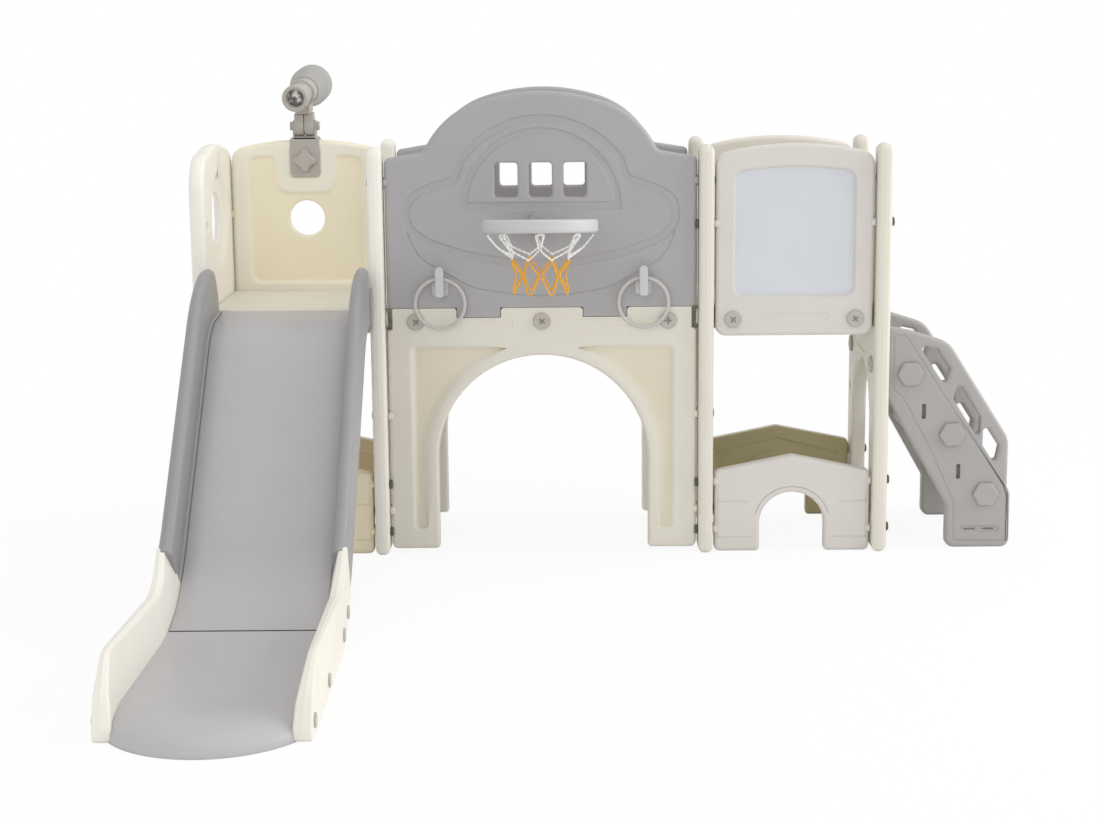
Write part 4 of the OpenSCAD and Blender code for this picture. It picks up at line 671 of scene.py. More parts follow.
def pocketPath():
    side, top, foot, reach = (pocket[key] for key in ("side", "top", "foot", "reach"))
    inner, over, down = pocket["gaps"]
    low, high = pocket["corners"]
    lift = degrees(asin((top - 2 - arch["spring"]) / reach))
    path = [(-reach, foot + k * inner) for k in range(1, 7)]
    path += arc(0, arch["spring"], reach, 180, 180 - lift, 40)
    path += [(path[-1][0] - k * over, top) for k in range(1, 8)]
    wall = [(-side, top - k * down) for k in range(1, 14)]
    corners = [(-side, foot, low), (-reach, foot, low)] + sharp(path) + [(-side, top, high)]
    return rounded(corners + sharp(wall))


def archMesh():
    b, foot, r = gym["bridgeHalf"], arch["foot"], arch["radius"]
    x, width, drop = arch["tab"]
    top, low = gym["deck"], gym["deck"] - drop - arch["play"]
    side, down = arch["notch"]
    edge, half = arch["edge"] + shaping["clear"], width / 2 + arch["play"]
    right = [(r, foot, arch["footRadius"]), (b, foot, arch["corner"]), (b, top - down, edge),
             (b - side, top - down, 2), (b - side, top, 3), (x + half, top, edge), (x + half, low, 2),
             (x - half, low, 2), (x - half, top, edge)]
    outline = rounded(right + mirrored(right) + sharp(arc(0, arch["spring"], r, 180, 0, 48)))
    path, bar = pocketPath(), box(*arch["bar"])
    front = [cut(p, pocket["depth"], pocket["soft"], ease=lambda x, z: pocketSoft(-abs(x), z))
             for p in (path, mirrored(path))]
    front += [cut(p, *arch["barCut"]) for p in (bar, mirrored(bar))]
    panel = Panel(gym["panel"], arch["edge"])
    bm = panel.mould(outline, front, ease=lambda x, z: arch["ease"] if z > arch["joint"] else 1)
    return addBosses(bm, b, archBosses)


addPiece("arch_front", "shell", archMesh(), "creamArch", frontAt(0))
addPiece("arch_rear", "shell", archMesh(), "creamLit", rearAt(0))
print("arches")

dome = {"edge": 10, "height": 1108, "endHeight": 953, "radius": 215, "topRadius": 470, "topTurn": 18,
        "rise": 15, "foot": 13, "blend": 24, "corner": 13, "pane": (54, 82, 9), "panes": (81, 901),
        "paneEdge": 5, "fan": ((190, 831), (174, 849)), "fanZ": 833, "band": 9, "bandDepth": 2.8,
        "bandSoft": 1.6, "trimArc": (815, 229),
        "trim": ((-201, 909), (-217, 899), (-254, 887), (-294, 868), (-311, 850), (-318, 815), (-303, 782),
                 (-262, 755), (-195, 731), (-139, 718), (-70, 707), (0, 703)),
        "crease": ((-316, 774), (-297, 736), (-280, 714), (-256, 699), (-176, 654), (-138, 643),
                   (-70, 632), (0, 628)), "creaseWidth": 4.4, "creaseCut": (1.1, 1.2)}


def domeRim():
    top, flank, turn = dome["topRadius"], dome["radius"], dome["topTurn"]
    t = radians(turn)
    low = dome["endHeight"] + dome["rise"]
    x, z = (top - flank) * sin(t), dome["height"] - top + (top - flank) * cos(t)
    s = acos((low + dome["foot"] - z) / flank)
    right = [(x + flank * sin(s) + dome["foot"] / tan(s), low, dome["blend"])]
    right += sharp(arc(x, z, flank, 90 - degrees(s), 90 - turn, 14)[:-1])
    return right + sharp(arc(0, dome["height"] - top, top, 90 - turn, 90 + turn, 18)) + mirrored(right)


def dee(radius, base):
    lift = degrees(asin((base - dome["fanZ"]) / radius))
    return arc(0, dome["fanZ"], radius, lift, 180 - lift, 44)


def domeMesh():
    b, deck, end = gym["bridgeHalf"], gym["deck"], dome["endHeight"]
    x, width, drop = arch["tab"]
    edge = dome["edge"] + shaping["clear"]
    low = []
    for s in (-1, 1):
        low += [(s * x - width / 2, deck, 2), (s * x - width / 2, deck - drop, 4),
                (s * x + width / 2, deck - drop, 4), (s * x + width / 2, deck, 2)]
    outline = rounded([(-b, deck, edge)] + low + [(b, deck, edge), (b, end, dome["corner"])] + domeRim()
                      + [(-b, end, dome["corner"])])
    step, z = dome["panes"]
    panes = {str(i): (block(i * step, z, *dome["pane"]), dome["paneEdge"]) for i in (-1, 0, 1)}
    windows = [{"hole": name} for name in panes]
    centre, r = dome["trimArc"]
    left = smoothLine(arc(0, centre, r, 90, 145, 9) + list(dome["trim"]), 5)
    loop = left + mirrored(left[1:-1])
    outer, inner = dome["fan"]
    front, depth = windows, -dome["bandDepth"]
    for path in (dee(*inner), dee(*outer), inset(loop, dome["band"]), inset(loop, -dome["band"])):
        front = [cut(path, depth, dome["bandSoft"], inside=front)]
        depth = -depth
    crease = smoothLine(dome["crease"], 6)
    front.append(cut(strip(crease + mirrored(crease[:-1]), dome["creaseWidth"]), *dome["creaseCut"]))
    panel = Panel(gym["panel"], dome["edge"])
    bm = panel.mould(outline, front, windows, panes, lambda x, z: arch["ease"] if z < deck + 1 else 1)
    return addBosses(bm, b, domeBosses)


addPiece("dome_front", "shell", domeMesh(), "dome_grey", frontAt(0))
addPiece("dome_rear", "shell", domeMesh(), "dome_grey", rearAt(0))
print("domes")

# Lines are (height, distance from the door); the field is sunk in the inner face
lowWall = {"edge": 8, "gable": (236, 30), "eaves": 198, "door": (78, 67, 9), "corner": 14,
           "halo": (14, 3.6), "haloCut": (0.7, 1.0), "lines": ((35, 20), (123, 32)), "line": (10, 2, 1.9),
           "lineCut": (0.6, 1.0), "frame": 26, "field": ((40, 8), (166, 10)), "fieldSide": 30,
           "fieldTop": (205, 14), "fieldCut": (4, 3)}


def lowWallMesh():
    w, c, eaves = gym["towerHalf"], lowWall["corner"], lowWall["eaves"]
    r, spring, foot = lowWall["door"]
    right = [(r, 0, foot), (w, 0, c), (w, eaves, c)]
    crown = sharp(arc(0, spring, r, 180, 0, 32))
    outline = rounded(right + [(0, *lowWall["gable"])] + mirrored(right) + crown)
    band, wide = lowWall["halo"]
    front = [cut(strip(arc(0, spring, r + band, 16, 164, 30), wide), *lowWall["haloCut"])]
    end, half, radius = lowWall["line"]
    for z, start in lowWall["lines"]:
        for s in (-1, 1):
            x0, x1 = sorted((s * (r + start), s * (w - end)))
            front.append(cut(box(x0, z - half, x1, z + half, radius), *lowWall["lineCut"]))
    door, side = r + lowWall["frame"], w - lowWall["fieldSide"]
    low, high = ((side, *corner) for corner in lowWall["field"])
    right = [(door, low[1], 5), low, high]
    over = sharp(arc(0, spring, door, 180, 0, 24))
    field = rounded(right + [(0, *lowWall["fieldTop"])] + mirrored(right) + over)
    back = [cut(field, *lowWall["fieldCut"])]
    return addBosses(Panel(gym["panel"], lowWall["edge"]).mould(outline, front, back), w, lowBosses)


# Each low wall gets its own copy of cream, with light or shade painted into it
for node, place, finish in (("low_wall_left_front", frontAt(-gym["towerX"]), "creamGlow"),
                            ("low_wall_left_rear", rearAt(-gym["towerX"]), "creamTan"),
                            ("low_wall_right_front", frontAt(gym["towerX"]), "creamCool"),
                            ("low_wall_right_rear", rearAt(gym["towerX"]), "creamShade")):
    addPiece(node, "shell", lowWallMesh(), finish, place)
print("low walls")

upper = {"edge": 10, "low": 527, "top": 981, "crown": 24, "topRadius": 36, "footRadius": 26, "margin": 42,
         "round": 26, "board": (138, 625, 925, 13, 19), "recess": 2, "sheet": 1, "boardCut": (12, 6),
         "sheetThick": 4, "sheetEdge": 0.6, "slot": (-84, 567, 84, 581, 6.5), "slotCut": (1.4, 1.4),
         "rearCut": (4, 4), "porthole": (783, 45, 5), "clip": (39, 884), "border": 37,
         "lookoutCut": (5, 6), "seatTop": 20, "seatCut": (3, 3)}


def crownPath(w, z0, z1, rise, topRadius, footRadius):
    r = (w * w + rise * rise) / (2 * rise)
    a = degrees(asin((w - topRadius) / r))
    top = sharp(arc(0, z1 - r, r, 90 - a, 90 + a, 24))
    return rounded([(-w, z0, footRadius), (w, z0, footRadius), (w, z1 - rise, topRadius)] + top
                   + [(-w, z1 - rise, topRadius)])


def boardPath(grown):
    w, z0, z1, rise, r = upper["board"]
    return crownPath(w + grown, z0 - grown, z1 + grown, rise, r + grown, r + grown)


def upperMesh(front, back=(), holes=None):
    sizes = (upper[key] for key in ("low", "top", "crown", "topRadius", "footRadius"))
    outline = crownPath(gym["towerHalf"], *sizes)
    bm = Panel(gym["panel"], upper["edge"]).mould(outline, front, back, holes)
    return addBosses(bm, gym["towerHalf"], upperBosses)


def lookoutMesh(side, foot, top, r):
    z, radius, edge = upper["porthole"]
    half, low = upper["clip"]
    wide, under, high = half + upper["border"], low - upper["border"], upper["top"] - upper["seatTop"]
    right = [(side, foot, r), (side, top, r), (wide, top, 12), (wide, under, 34)]
    field = rounded([(-side, foot, r)] + right + mirrored(right[1:]))
    hole = [{"hole": "porthole"}]
    seat = rounded([(-half, low, 12), (half, low, 12), (half, high, 3), (-half, high, 3)])
    inner = [cut(field, *upper["lookoutCut"], inside=hole), cut(seat, *upper["seatCut"])]
    return upperMesh(hole, inner, {"porthole": (circle(0, z, radius, 48), edge)})


front = [cut(boardPath(upper["recess"]), *upper["boardCut"]), cut(box(*upper["slot"]), *upper["slotCut"])]
addPiece("board_frame", "shell", upperMesh(front), "creamCool", frontAt(gym["towerX"]))
sheet = Panel(upper["sheetThick"], upper["sheetEdge"]).mould(boardPath(upper["sheet"]))
sheetY = upper["boardCut"][0] - upper["sheetThick"]
addPiece("white_board", "sheet", sheet, "board_white", at(gym["towerX"], sheetY, 0))
side, foot = gym["towerHalf"] - upper["margin"], gym["deck"] + upper["margin"] / 2
top = upper["top"] - upper["margin"]
field = cut(box(-side, foot, side, top, upper["round"]), *upper["rearCut"])
addPiece("rear_panel_right", "shell", upperMesh([field]), "cream", rearAt(gym["towerX"]))
lookout = lookoutMesh(side, foot, top, upper["round"])
addPiece("lookout_panel", "shell", lookout, "creamWarm", rearAt(-gym["towerX"]))
print("upper panels")

slide = {"half": 165, "rail": 32, "railHeight": 95, "bed": 26, "angle": 45, "lipFall": 3, "lipZ": 597,
         "topRadius": 180, "topSteps": 14, "footRadius": 430, "footZ": 45, "seam": 816, "seamGap": 3.2,
         "seamEdge": ((0, 0), (1, 0.3), (1.3, 1.2)), "reach": 1425, "foot": (890.126, 475),
         "slopeStart": (217.722, 539.292), "railStart": 20, "railEnd": 32.3, "fillet": 5, "bevel": 4,
         "groove": (3.4, 5), "noseRadius": 204, "noseRoll": 120, "noseLip": 6, "bareRail": (2, 3),
         "fin": 17, "finLength": 46, "finRise": (0.42, 1.15, 0.02), "finThin": 0.7,
         "finShares": (0, 0.05, 0.12, 0.25, 0.4, 0.55, 0.7, 0.85, 1), "lug": (-66, 556, -20, 654, 20),
         "lugEdge": (12, 3)}


def bedHeight(f):
    x, z = slide["foot"]
    return slide["footZ"] if f > x else z - sqrt(slide["footRadius"] ** 2 - (x - f) ** 2)


# Stations along the bed: (reach, height, slope, the rail's height and thickness)
def troughStations():
    fall, angle, bare, lipZ = slide["lipFall"], slide["angle"], slide["bareRail"], slide["lipZ"]
    tall, thick = slide["railHeight"], slide["rail"]
    stations = [(0, lipZ, 0, *bare), (slide["railStart"] - 0.5, lipZ - 1, fall, *bare)]
    least, speed, lead = slide["finRise"]
    thin = slide["finThin"]
    for share in slide["finShares"]:
        f = slide["railStart"] + share * slide["finLength"]
        rise = least + (1 - least) * sin(pi / 2 * min(1, share * speed + lead))
        high, wide = (tall + slide["fin"]) * rise, thick * (thin + (1 - thin) * share)
        stations.append((f, lipZ - f * tan(radians(fall)), fall, high, wide))
    x, z = slide["slopeStart"]
    r = slide["topRadius"]
    cx, cz = x - r * sin(radians(angle)), z - r * cos(radians(angle))
    steps = slide["topSteps"]
    for k in range(steps + 1):
        a = radians(fall + (angle - fall) * k / steps)
        high = tall + slide["fin"] * (1 - k / steps) ** 2
        stations.append((cx + r * sin(a), cz + r * cos(a), degrees(a), high, thick))
    fx, fz = slide["foot"]
    r, end = slide["footRadius"], slide["railEnd"]
    seam = degrees(asin((fx - slide["seam"]) / r))
    foot = [(angle + (end + 0.5 - angle) * k / 8, tall, thick) for k in range(9)]
    foot += [(end + 0.2, tall - 2, thick - 1), (end, tall - 6, thick - 3)]
    foot += [(end - 0.2 - (end - 0.2 - seam) * k / 24, *bare) for k in range(23)]
    for slope, *rail in foot:
        a = radians(slope)
        stations.append((fx - r * sin(a), fz - r * cos(a), slope, *rail))
    last = slide["seam"] - slide["seamGap"]
    return stations + [(last + on, bedHeight(last) - drop, seam, *bare) for on, drop in slide["seamEdge"]]


# Sections across the slide: a rail stands outside the groove at the bed's edge
def railSection(high, thick):
    w, r, bed, fillet = slide["half"], thick / 2, slide["bed"], min(slide["fillet"], high / 2)
    bevel = slide["bevel"] if thick > slide["bareRail"][1] else 0
    half = [(w + thick - bevel, -bed), (w + thick, -bed + bevel), (w + thick, high - r)]
    half += [(w + r + p, high - r + q) for p, q in arc(0, 0, r, 22.5, 180, 8)]
    half += [(w - fillet + p, fillet + q) for p, q in arc(0, 0, fillet, 0, -90, 6)]
    x = w - fillet
    return half + [(x - 0.8, -0.4), (x - 0.9, -slide["groove"][1]), (x - 0.9, -bed)]


def bedSection():
    wide, deep = slide["groove"]
    x = slide["half"] - slide["fillet"] - wide
    half = [(x + wide - 1, -slide["bed"]), (x + wide - 1, -deep), (x, -deep), (x - 0.1, -0.5), (x - 1, 0)]
    half += [(x * k / 4, 0) for k in (3, 2, 1)]
    return half + [(0, 0)] + mirrored(half)


def sweepSlide(section):
    rings = []
    for f, z, slope, *rail in troughStations():
        a = radians(slope)
        rings.append([(p - gym["towerX"], -f - q * sin(a), z + q * cos(a)) for p, q in section(*rail)])
    return loft(rings)


def noseMesh():
    fx, seam, footZ = slide["foot"][0], slide["seam"], slide["footZ"]
    lip, roll, r = slide["noseLip"], slide["noseRoll"], slide["noseRadius"]
    half = slide["half"] + slide["bareRail"][1]
    turns = [pi / 2 * j / 14 for j in range(15)]
    rings = []
    for k in range(41):
        x = half * sin(pi / 2 * (k / 20 - 1))
        front = slide["reach"] - r + sqrt(r ** 2 - x ** 2)
        start = front - roll
        path = [(seam + 1, bedHeight(seam) - 1.4), (seam + 1.8, bedHeight(seam + 1.8))]
        path += [(f, bedHeight(f)) for f in (seam + (fx - seam) * j / 8 for j in range(1, 9))]
        path += [(fx + (start - fx) * j / 6, footZ) for j in range(1, 6)]
        path += [(start + roll * sin(a), lip + (footZ - lip) * cos(a)) for a in turns]
        path += [(front, 1.5), (front - 1.5, 0), (fx, 0), (seam, bedHeight(seam) - slide["bed"])]
        rings.append([(x - gym["towerX"], -f, z) for f, z in path])
    return loft(rings)


addPiece("slide_trough", "bed", sweepSlide(lambda *rail: bedSection()), "bedGrey")
for name, side, inward in (("slide_rail_left", -1, 4), ("slide_rail_right", 1, 8)):
    bm = sweepSlide(lambda *rail: [(side * p, q) for p, q in railSection(*rail)])
    lug = Panel(*slide["lugEdge"]).mould(box(*slide["lug"]))
    join(bm, lug, sideAt(-gym["towerX"] + side * (slide["half"] + slide["rail"]) - inward))
    addPiece(name, "side", bm, "railGrey")
addPiece("slide_nose", "bed", noseMesh(), "slide_grey")

# Guards: corners, ovals and screws are shares of the run from the rails' end to the nose, and of the height
guard = {"thick": 46, "proud": 1.2, "overlap": 3.7, "thin": (850, 1400, 0.24), "edge": 6, "height": 142,
         "skirt": 14, "gap": 2, "ends": (10, 12), "oval": (22, 60, 10.9), "ovalRim": 5, "ovalDepth": 2.4,
         "ovalSoft": 1.2, "ovals": ((0.323, 0.58), (0.754, 0.58)), "taper": (0.6, 100),
         "screws": (0.085, 0.192, 0.544, 0.844),
         "corners": ((0.189, 0, 30), (0.89, 0, 10), (0.89, 0.17, 20), (0.86, 0.563, 60), (0.753, 1, 80),
                     (0.155, 0.873, 150))}


def guardReach(share):
    end = slide["foot"][0] - slide["footRadius"] * sin(radians(slide["railEnd"]))
    return end + share * (slide["reach"] - end)


def guardMesh():
    a = radians(slide["railEnd"])
    fx, fz = slide["foot"]
    r, gap, height = slide["footRadius"], guard["gap"], guard["height"]
    p = Vector((fx - r * sin(a) + gap * cos(a), fz - r * cos(a) - gap * sin(a)))
    low = p - Vector((sin(a), cos(a))) * (slide["bed"] + guard["skirt"])
    a += radians(guard["overlap"])
    high = Vector((fx, fz)) - Vector((sin(a), cos(a))) * (r - slide["railHeight"])
    corners = [(guardReach(f), h * height, radius) for f, h, radius in guard["corners"]]
    outline = rounded([(*low, guard["ends"][0])] + corners + [(*high, guard["ends"][1])], 10)
    ovals = []
    depth, soft = guard["ovalDepth"], guard["ovalSoft"]
    for share, rise in guard["ovals"]:
        path = block(guardReach(share), rise * height, *guard["oval"])
        middle = cut(inset(path, guard["ovalRim"]), -depth, soft)
        ovals.append(cut(path, depth, soft, inside=[middle]))
    bm = Panel(guard["thick"], guard["edge"]).mould(outline, ovals)
    start, end, thin = guard["thin"]
    taper, full = guard["taper"]
    for v in bm.verts:
        rise, along = (v.co.z - bedHeight(v.co.x)) / full, (v.co.x - start) / (end - start)
        v.co.y *= (1 - taper * max(0, min(1, rise))) * (1 - thin * max(0, min(1, along)))
    return bm


for node, side, finish in (("slide_guard_left", -1, "creamLit"), ("slide_guard_right", 1, "creamBright")):
    x = -gym["towerX"] + side * (slide["half"] + slide["rail"] + guard["proud"])
    turn = Matrix(((0, -side, 0), (-1, 0, 0), (0, 0, 1))).to_4x4()
    addPiece(node, "shell", guardMesh(), finish, at(x, 0, 0) @ turn)
print("slide")

stairs = {"run": 304, "height": 543, "thick": 36, "edge": 8, "sides": (20, 356),
          "corners": ((0.490, 0, 20), (1, 0, 20), (1, 0.243, 14), (0.974, 0.276, 14), (0.974, 0.494, 60),
                      (0.487, 0.926, 60), (0.197, 0.978, 40), (0, 1, 10), (0, 0.683, 10),
                      (0.490, 0.195, 12)), "body": ((0.164, 0.952), (0.944, 0.276)), "grip": (11, 43, 7),
          "grips": ((0.07, 0.337, 0.275, 0.145), (0.43, 0.705, 0.595, 0.365),
                    (0.738, 0.868, 0.79, 0.628)), "gripEdge": 10, "spoke": (0.7215, 0.6115),
          "ease": (0.59, 16, 4.5), "groove": 2.2, "grooveDepth": 1.2, "grooveSoft": 1.1,
          "field": ((17, 389, 6), (39, 371, 10), (106, 244, 60), (165, 117, 14), (168, 17, 10),
                    (297, 16, 12), (293, 140, 30), (176, 317, 0), (42, 522, 14), (14, 522, 6)),
          "caps": ((0.799, 0.245), (0.523, 0.517), (0.184, 0.790)),
          "slots": ((0.296, 0.621), (0.58, 0.348)), "slot": (9, 36, 3.5), "slotCut": (16, 0.6),
          "foot": (182, 39, 277, 54, 6), "footCut": (3, 1.6),
          "footLines": ((194, 44, 220, 48, 1.2), (239, 44, 265, 48, 1.2)), "footLineCut": (5, 0.5),
          "tread": (115, 40), "treadLift": 20, "treadMargin": 6, "treadLine": (14, 6, 15)}


def onStairs(x, z):
    return x * stairs["run"], z * stairs["height"]


def stairSideMesh():
    outline = rounded([(*onStairs(x, z), r) for x, z, r in stairs["corners"]])
    first, last = (Vector(onStairs(*p)) for p in stairs["body"])
    along = (last - first).normalized()
    out = Vector((-along.y, along.x))
    length = (last - first).length
    near, far, radius = stairs["grip"]
    foot, tip = stairs["spoke"]
    slant, room, clear = stairs["ease"]

    # The handholds' edges are rounded less beside the body and the thin spoke
    def softness(x, z):
        q = Vector((x, z)) - first
        s, w = q.dot(along) / length, q.dot(out)
        aside = abs(s - foot - (tip - foot) * (w - near) / (far - near)) * length * slant
        return min(max(0.2, aside / room), max(0.3, (w - clear) / room), 1)

    holes = {}
    for k, shares in enumerate(stairs["grips"]):
        corners = [first + along * s * length + out * w for s, w in zip(shares, (near, near, far, far))]
        holes[str(k)] = (rounded([(*p, radius) for p in corners]), stairs["gripEdge"], softness)
    grips = [{"hole": name} for name in holes]
    inside = [cut(block(*onStairs(*p), *stairs["slot"]), *stairs["slotCut"]) for p in stairs["slots"]]
    lines = [cut(box(*line), *stairs["footLineCut"]) for line in stairs["footLines"]]
    inside.append(cut(box(*stairs["foot"]), *stairs["footCut"], inside=lines))
    loop, half = rounded(stairs["field"]), stairs["groove"]
    depth, soft = stairs["grooveDepth"], stairs["grooveSoft"]
    field = cut(inset(loop, half), -depth, soft, inside=inside)
    front = [cut(inset(loop, -half), depth, soft, inside=[field])] + grips
    return Panel(stairs["thick"], stairs["edge"]).mould(outline, front, grips, holes)


def treadMesh(top):
    first, last = (Vector(onStairs(*p)) for p in stairs["body"])
    deep, thick = stairs["tread"]
    margin, wide, gap = stairs["treadLine"]
    x1 = first.x + (first.y - top) * (last.x - first.x) / (first.y - last.y) - stairs["treadMargin"]
    x0 = max(0, x1 - deep)
    y0, y1 = stairs["sides"][0] + stairs["thick"], stairs["sides"][1]
    lines = [(x0 + margin + gap * k, y0 + margin, x0 + margin + wide + gap * k, y1 - margin)
             for k in range(int((x1 - x0 - 20) / gap))]
    return deckMesh(x0, y0, x1, y1, thick, lines)


stairFront, stairRear = stairs["sides"][0], stairs["sides"][1] + stairs["thick"]
for node, place in (("stair_side_front", at(gym["outerX"], stairFront, 0)),
                    ("stair_side_rear", at(gym["outerX"], stairRear, 0) @ flip(1, -1))):
    addPiece(node, "shell", stairSideMesh(), "stair_grey", place)
for node, cap in zip(("stair_tread_low", "stair_tread_middle", "stair_tread_top"), stairs["caps"]):
    top = onStairs(*cap)[1] + stairs["treadLift"]
    addPiece(node, "step", treadMesh(top), "stair_grey", at(gym["outerX"], 0, top) @ faceUp)
print("stairs")

hoop = {"place": (0, -165, 808), "tilt": 5, "outer": 132, "inner": 112, "half": 15, "round": 7,
        "columns": 8, "lug": (3.5, 4, 1), "lugOut": 120, "tongue": (-14, 120, 14, 153, 3),
        "tongueEdge": (8, 2), "seat": (30, 5, 2), "seatZ": 799.495, "socket": (44, 20, 5),
        "socketY": (134, 164), "socketEdge": 2.5}
atHoop = at(*hoop["place"]) @ Matrix.Rotation(-radians(hoop["tilt"]), 4, "X")

half = hoop["half"]
bm = lathe(box(hoop["inner"], -half, hoop["outer"], half, hoop["round"]), atHoop, 128, True)
tongue = Panel(*hoop["tongueEdge"]).mould(box(*hoop["tongue"]))
join(bm, tongue, atHoop @ at(0, 0, hoop["tongueEdge"][0] / 2) @ faceUp)
for k in range(hoop["columns"]):
    turn = Matrix.Rotation(2 * pi * k / hoop["columns"], 4, "Z")
    lathe(roundedDisc(*hoop["lug"]), atHoop @ turn @ at(0, -hoop["lugOut"], -half - 2), 20, bm=bm)
addPiece("hoop_rim", "ring", bm, "pale_grey")

bm = lathe(roundedDisc(*hoop["seat"]), at(0, 0, hoop["seatZ"]) @ flip(1, -1) @ alongY, 48)
start, end = hoop["socketY"]
join(bm, Panel(end - start, hoop["socketEdge"]).mould(block(0, 0, *hoop["socket"])), atHoop @ at(0, start, 0))
addPiece("hoop_bracket", "block", bm, "dome_grey")

# Net: rows are (share of the top's radius, share of the drop, how far they follow the hoop's tilt);
# a column's knots are (row, turn, lift) up to its middle, where it is mirrored
net = {"cord": 1.25, "pair": 1.15, "sides": 8, "lay": 24, "pull": 0.32, "steps": 14, "top": 788.9,
       "topRadius": 120, "length": 133,
       "rows": ((1, 0, 1), (0.80, 0.23, 0.5), (0.58, 0.40, 0), (0.48, 0.69, 0), (0.54, 1, 0)),
       "column": 45, "vee": ((0, 2, 0), (0, 4, -3), (1, 1.6, 0), (2, 20.5, 3)), "veeTip": (2, 22.5, 0),
       "loop": ((2, 24.5, -6.9), (3, 40.4, 6), (3, 42.4, 0), (3, 40.4, -6), (4, 28.5, 9), (4, 26.5, 3)),
       "loopTop": (2, 22.5, -3.9), "loopTip": (4, 22.5, 0)}


def netPoint(row, turn, lift):
    share, drop, tilt = net["rows"][row]
    a, r = radians(turn), share * net["topRadius"]
    y = -r * cos(a)
    rise = -y * tan(radians(hoop["tilt"])) * tilt
    return Vector((r * sin(a), y + hoop["place"][1], net["top"] - drop * net["length"] + rise + lift))


def netColumn(k, start, half, tip):
    other = [(row, net["column"] - turn, lift) for row, turn, lift in reversed(half)]
    return [netPoint(row, net["column"] * k + turn, lift) for row, turn, lift in [*start, *half, tip, *other]]


def closedSpline(points):
    line = []
    for i in range(len(points)):
        p0, p1, p2, p3 = (points[(i + k) % len(points)] for k in (-1, 0, 1, 2))
        span = (p2 - p1).length
        steps = max(2, min(net["steps"], int(span / 2)))
        m1, m2 = (p2 - p0) * net["pull"], (p3 - p1) * net["pull"]
        scale = min(1, span / max(m1.length, m2.length, 0.01))
        for t in (k / steps for k in range(steps)):
            line.append((2 * t ** 3 - 3 * t ** 2 + 1) * p1 + (t ** 3 - 2 * t ** 2 + t) * m1 * scale
                        + (3 * t ** 2 - 2 * t ** 3) * p2 + (t ** 3 - t ** 2) * m2 * scale)
    return line


def twinCord(bm, points):
    line = closedSpline(points)
    travel = 0
    frames = []
    for i, p in enumerate(line):
        ahead = line[(i + 1) % len(line)]
        along = (ahead - line[i - 1]).normalized()
        side = along.cross(Vector((p.x, p.y - hoop["place"][1], 0)).normalized()).normalized()
        frames.append((p, side, side.cross(along), travel))
        travel += (ahead - p).length
    laps = max(1, round(travel / net["lay"]))
    turns = [2 * pi * k / net["sides"] for k in range(net["sides"])]
    for half in (0, pi):
        rings = []
        for p, side, out, s in frames:
            a = 2 * pi * laps * s / travel + half
            centre = p + (side * cos(a) + out * sin(a)) * net["pair"]
            rings.append([centre + (side * cos(t) + out * sin(t)) * net["cord"] for t in turns])
        loft(rings, False, True, bm)


white, orange = bmesh.new(), bmesh.new()
columns = range(hoop["columns"])
twinCord(white, [p for k in columns for p in netColumn(k, (), net["vee"], net["veeTip"])])
for k in columns:
    twinCord(orange, netColumn(k, (net["loopTop"],), net["loop"], net["loopTip"]))
addPiece("net_upper", "cords", white, "cord_white")
addPiece("net_lower", "cords", orange, "cord_orange")
print("hoop and net")

hook = {"x": 241, "base": (0, 646, 38, 32, 5), "baseEdge": (5, 1.5), "throat": 19, "peg": (6, 19, 0.6),
        "pegZ": 660, "tab": ((10, 629, 5), (10, 701, 9.5)), "tabEdge": (5, 1.8), "ring": (58.75, 4.25),
        "ringZ": 611.8}
for name, side in (("left", -1), ("right", 1)):
    x, back, front = side * hook["x"], hook["baseEdge"][0], hook["baseEdge"][0] + hook["throat"]
    bm = bmesh.new()
    join(bm, Panel(*hook["baseEdge"]).mould(block(*hook["base"])), at(x, -back, 0))
    lathe(roundedDisc(*hook["peg"]), at(x, -front, hook["pegZ"]) @ alongY, 28, bm=bm)
    low, high = hook["tab"]
    tab = rounded(mirrored([low]) + [low, high] + mirrored([high]))
    join(bm, Panel(*hook["tabEdge"]).mould(tab), at(x, -front - hook["tabEdge"][0], 0))
    addPiece("hook_" + name, "form", bm, "pale_grey")
    radius, minor = hook["ring"]
    section = [(radius + p, q) for p, q in circle(0, 0, minor, 20)]
    ring = lathe(section, at(x, -back - hook["throat"] / 2, hook["ringZ"]) @ alongY, 112, True)
    addPiece("ring_" + name, "hoop", ring, "ring_grey", body=name + "_ring")
print("hooks and rings")

# Telescope: the pin's place, then lengths along the tube and radii about it
scope = {"pin": (-599, 394, 1015), "tilt": 8, "pan": 5, "rise": 86, "eye": -102, "cupEnd": -78,
         "eyepiece": 33, "neck": 27, "tube": 32, "collar": 35, "bore": 22, "wall": 5, "hoodStart": 22,
         "hoodEnd": 124, "hoodFlare": 62, "hood": 50, "lens": (20, 9, 5, 2.2),
         "objective": (45, 105, 5, 3), "foot": (-19, 33.3, 19, 68, 4), "footEdge": (44, 3),
         "knuckle": (48, 25, 36, 33), "split": 1.25, "core": (3, 5, 0.3), "cheekEdge": 1.2,
         "ear": (24.3, 5, 15), "earEdge": 1.2, "pinHead": (11, 8, 1.5), "pinEnd": 29.3, "pinRadius": 5,
         "clip": (37.5, -128, -26, 12), "clipEdge": 2.5, "plate": 10, "plateY": -19.5,
         "rearPlate": (-114, 8), "bridge": (8, 2, 3), "knob": (20, 10, 19, 12), "knobEdge": (14, 4),
         "knobGap": 0.3, "knobZ": -85.7}
atPin = at(*scope["pin"])
tilted = atPin @ Matrix.Rotation(radians(scope["tilt"]), 4, "X")
turned = tilted @ Matrix.Rotation(-radians(scope["pan"]), 4, "Z")
atTube = turned @ at(0, 0, scope["rise"]) @ alongY


def tubeMesh(corners):
    return lathe(rounded(corners, 5), atTube, 72, True)


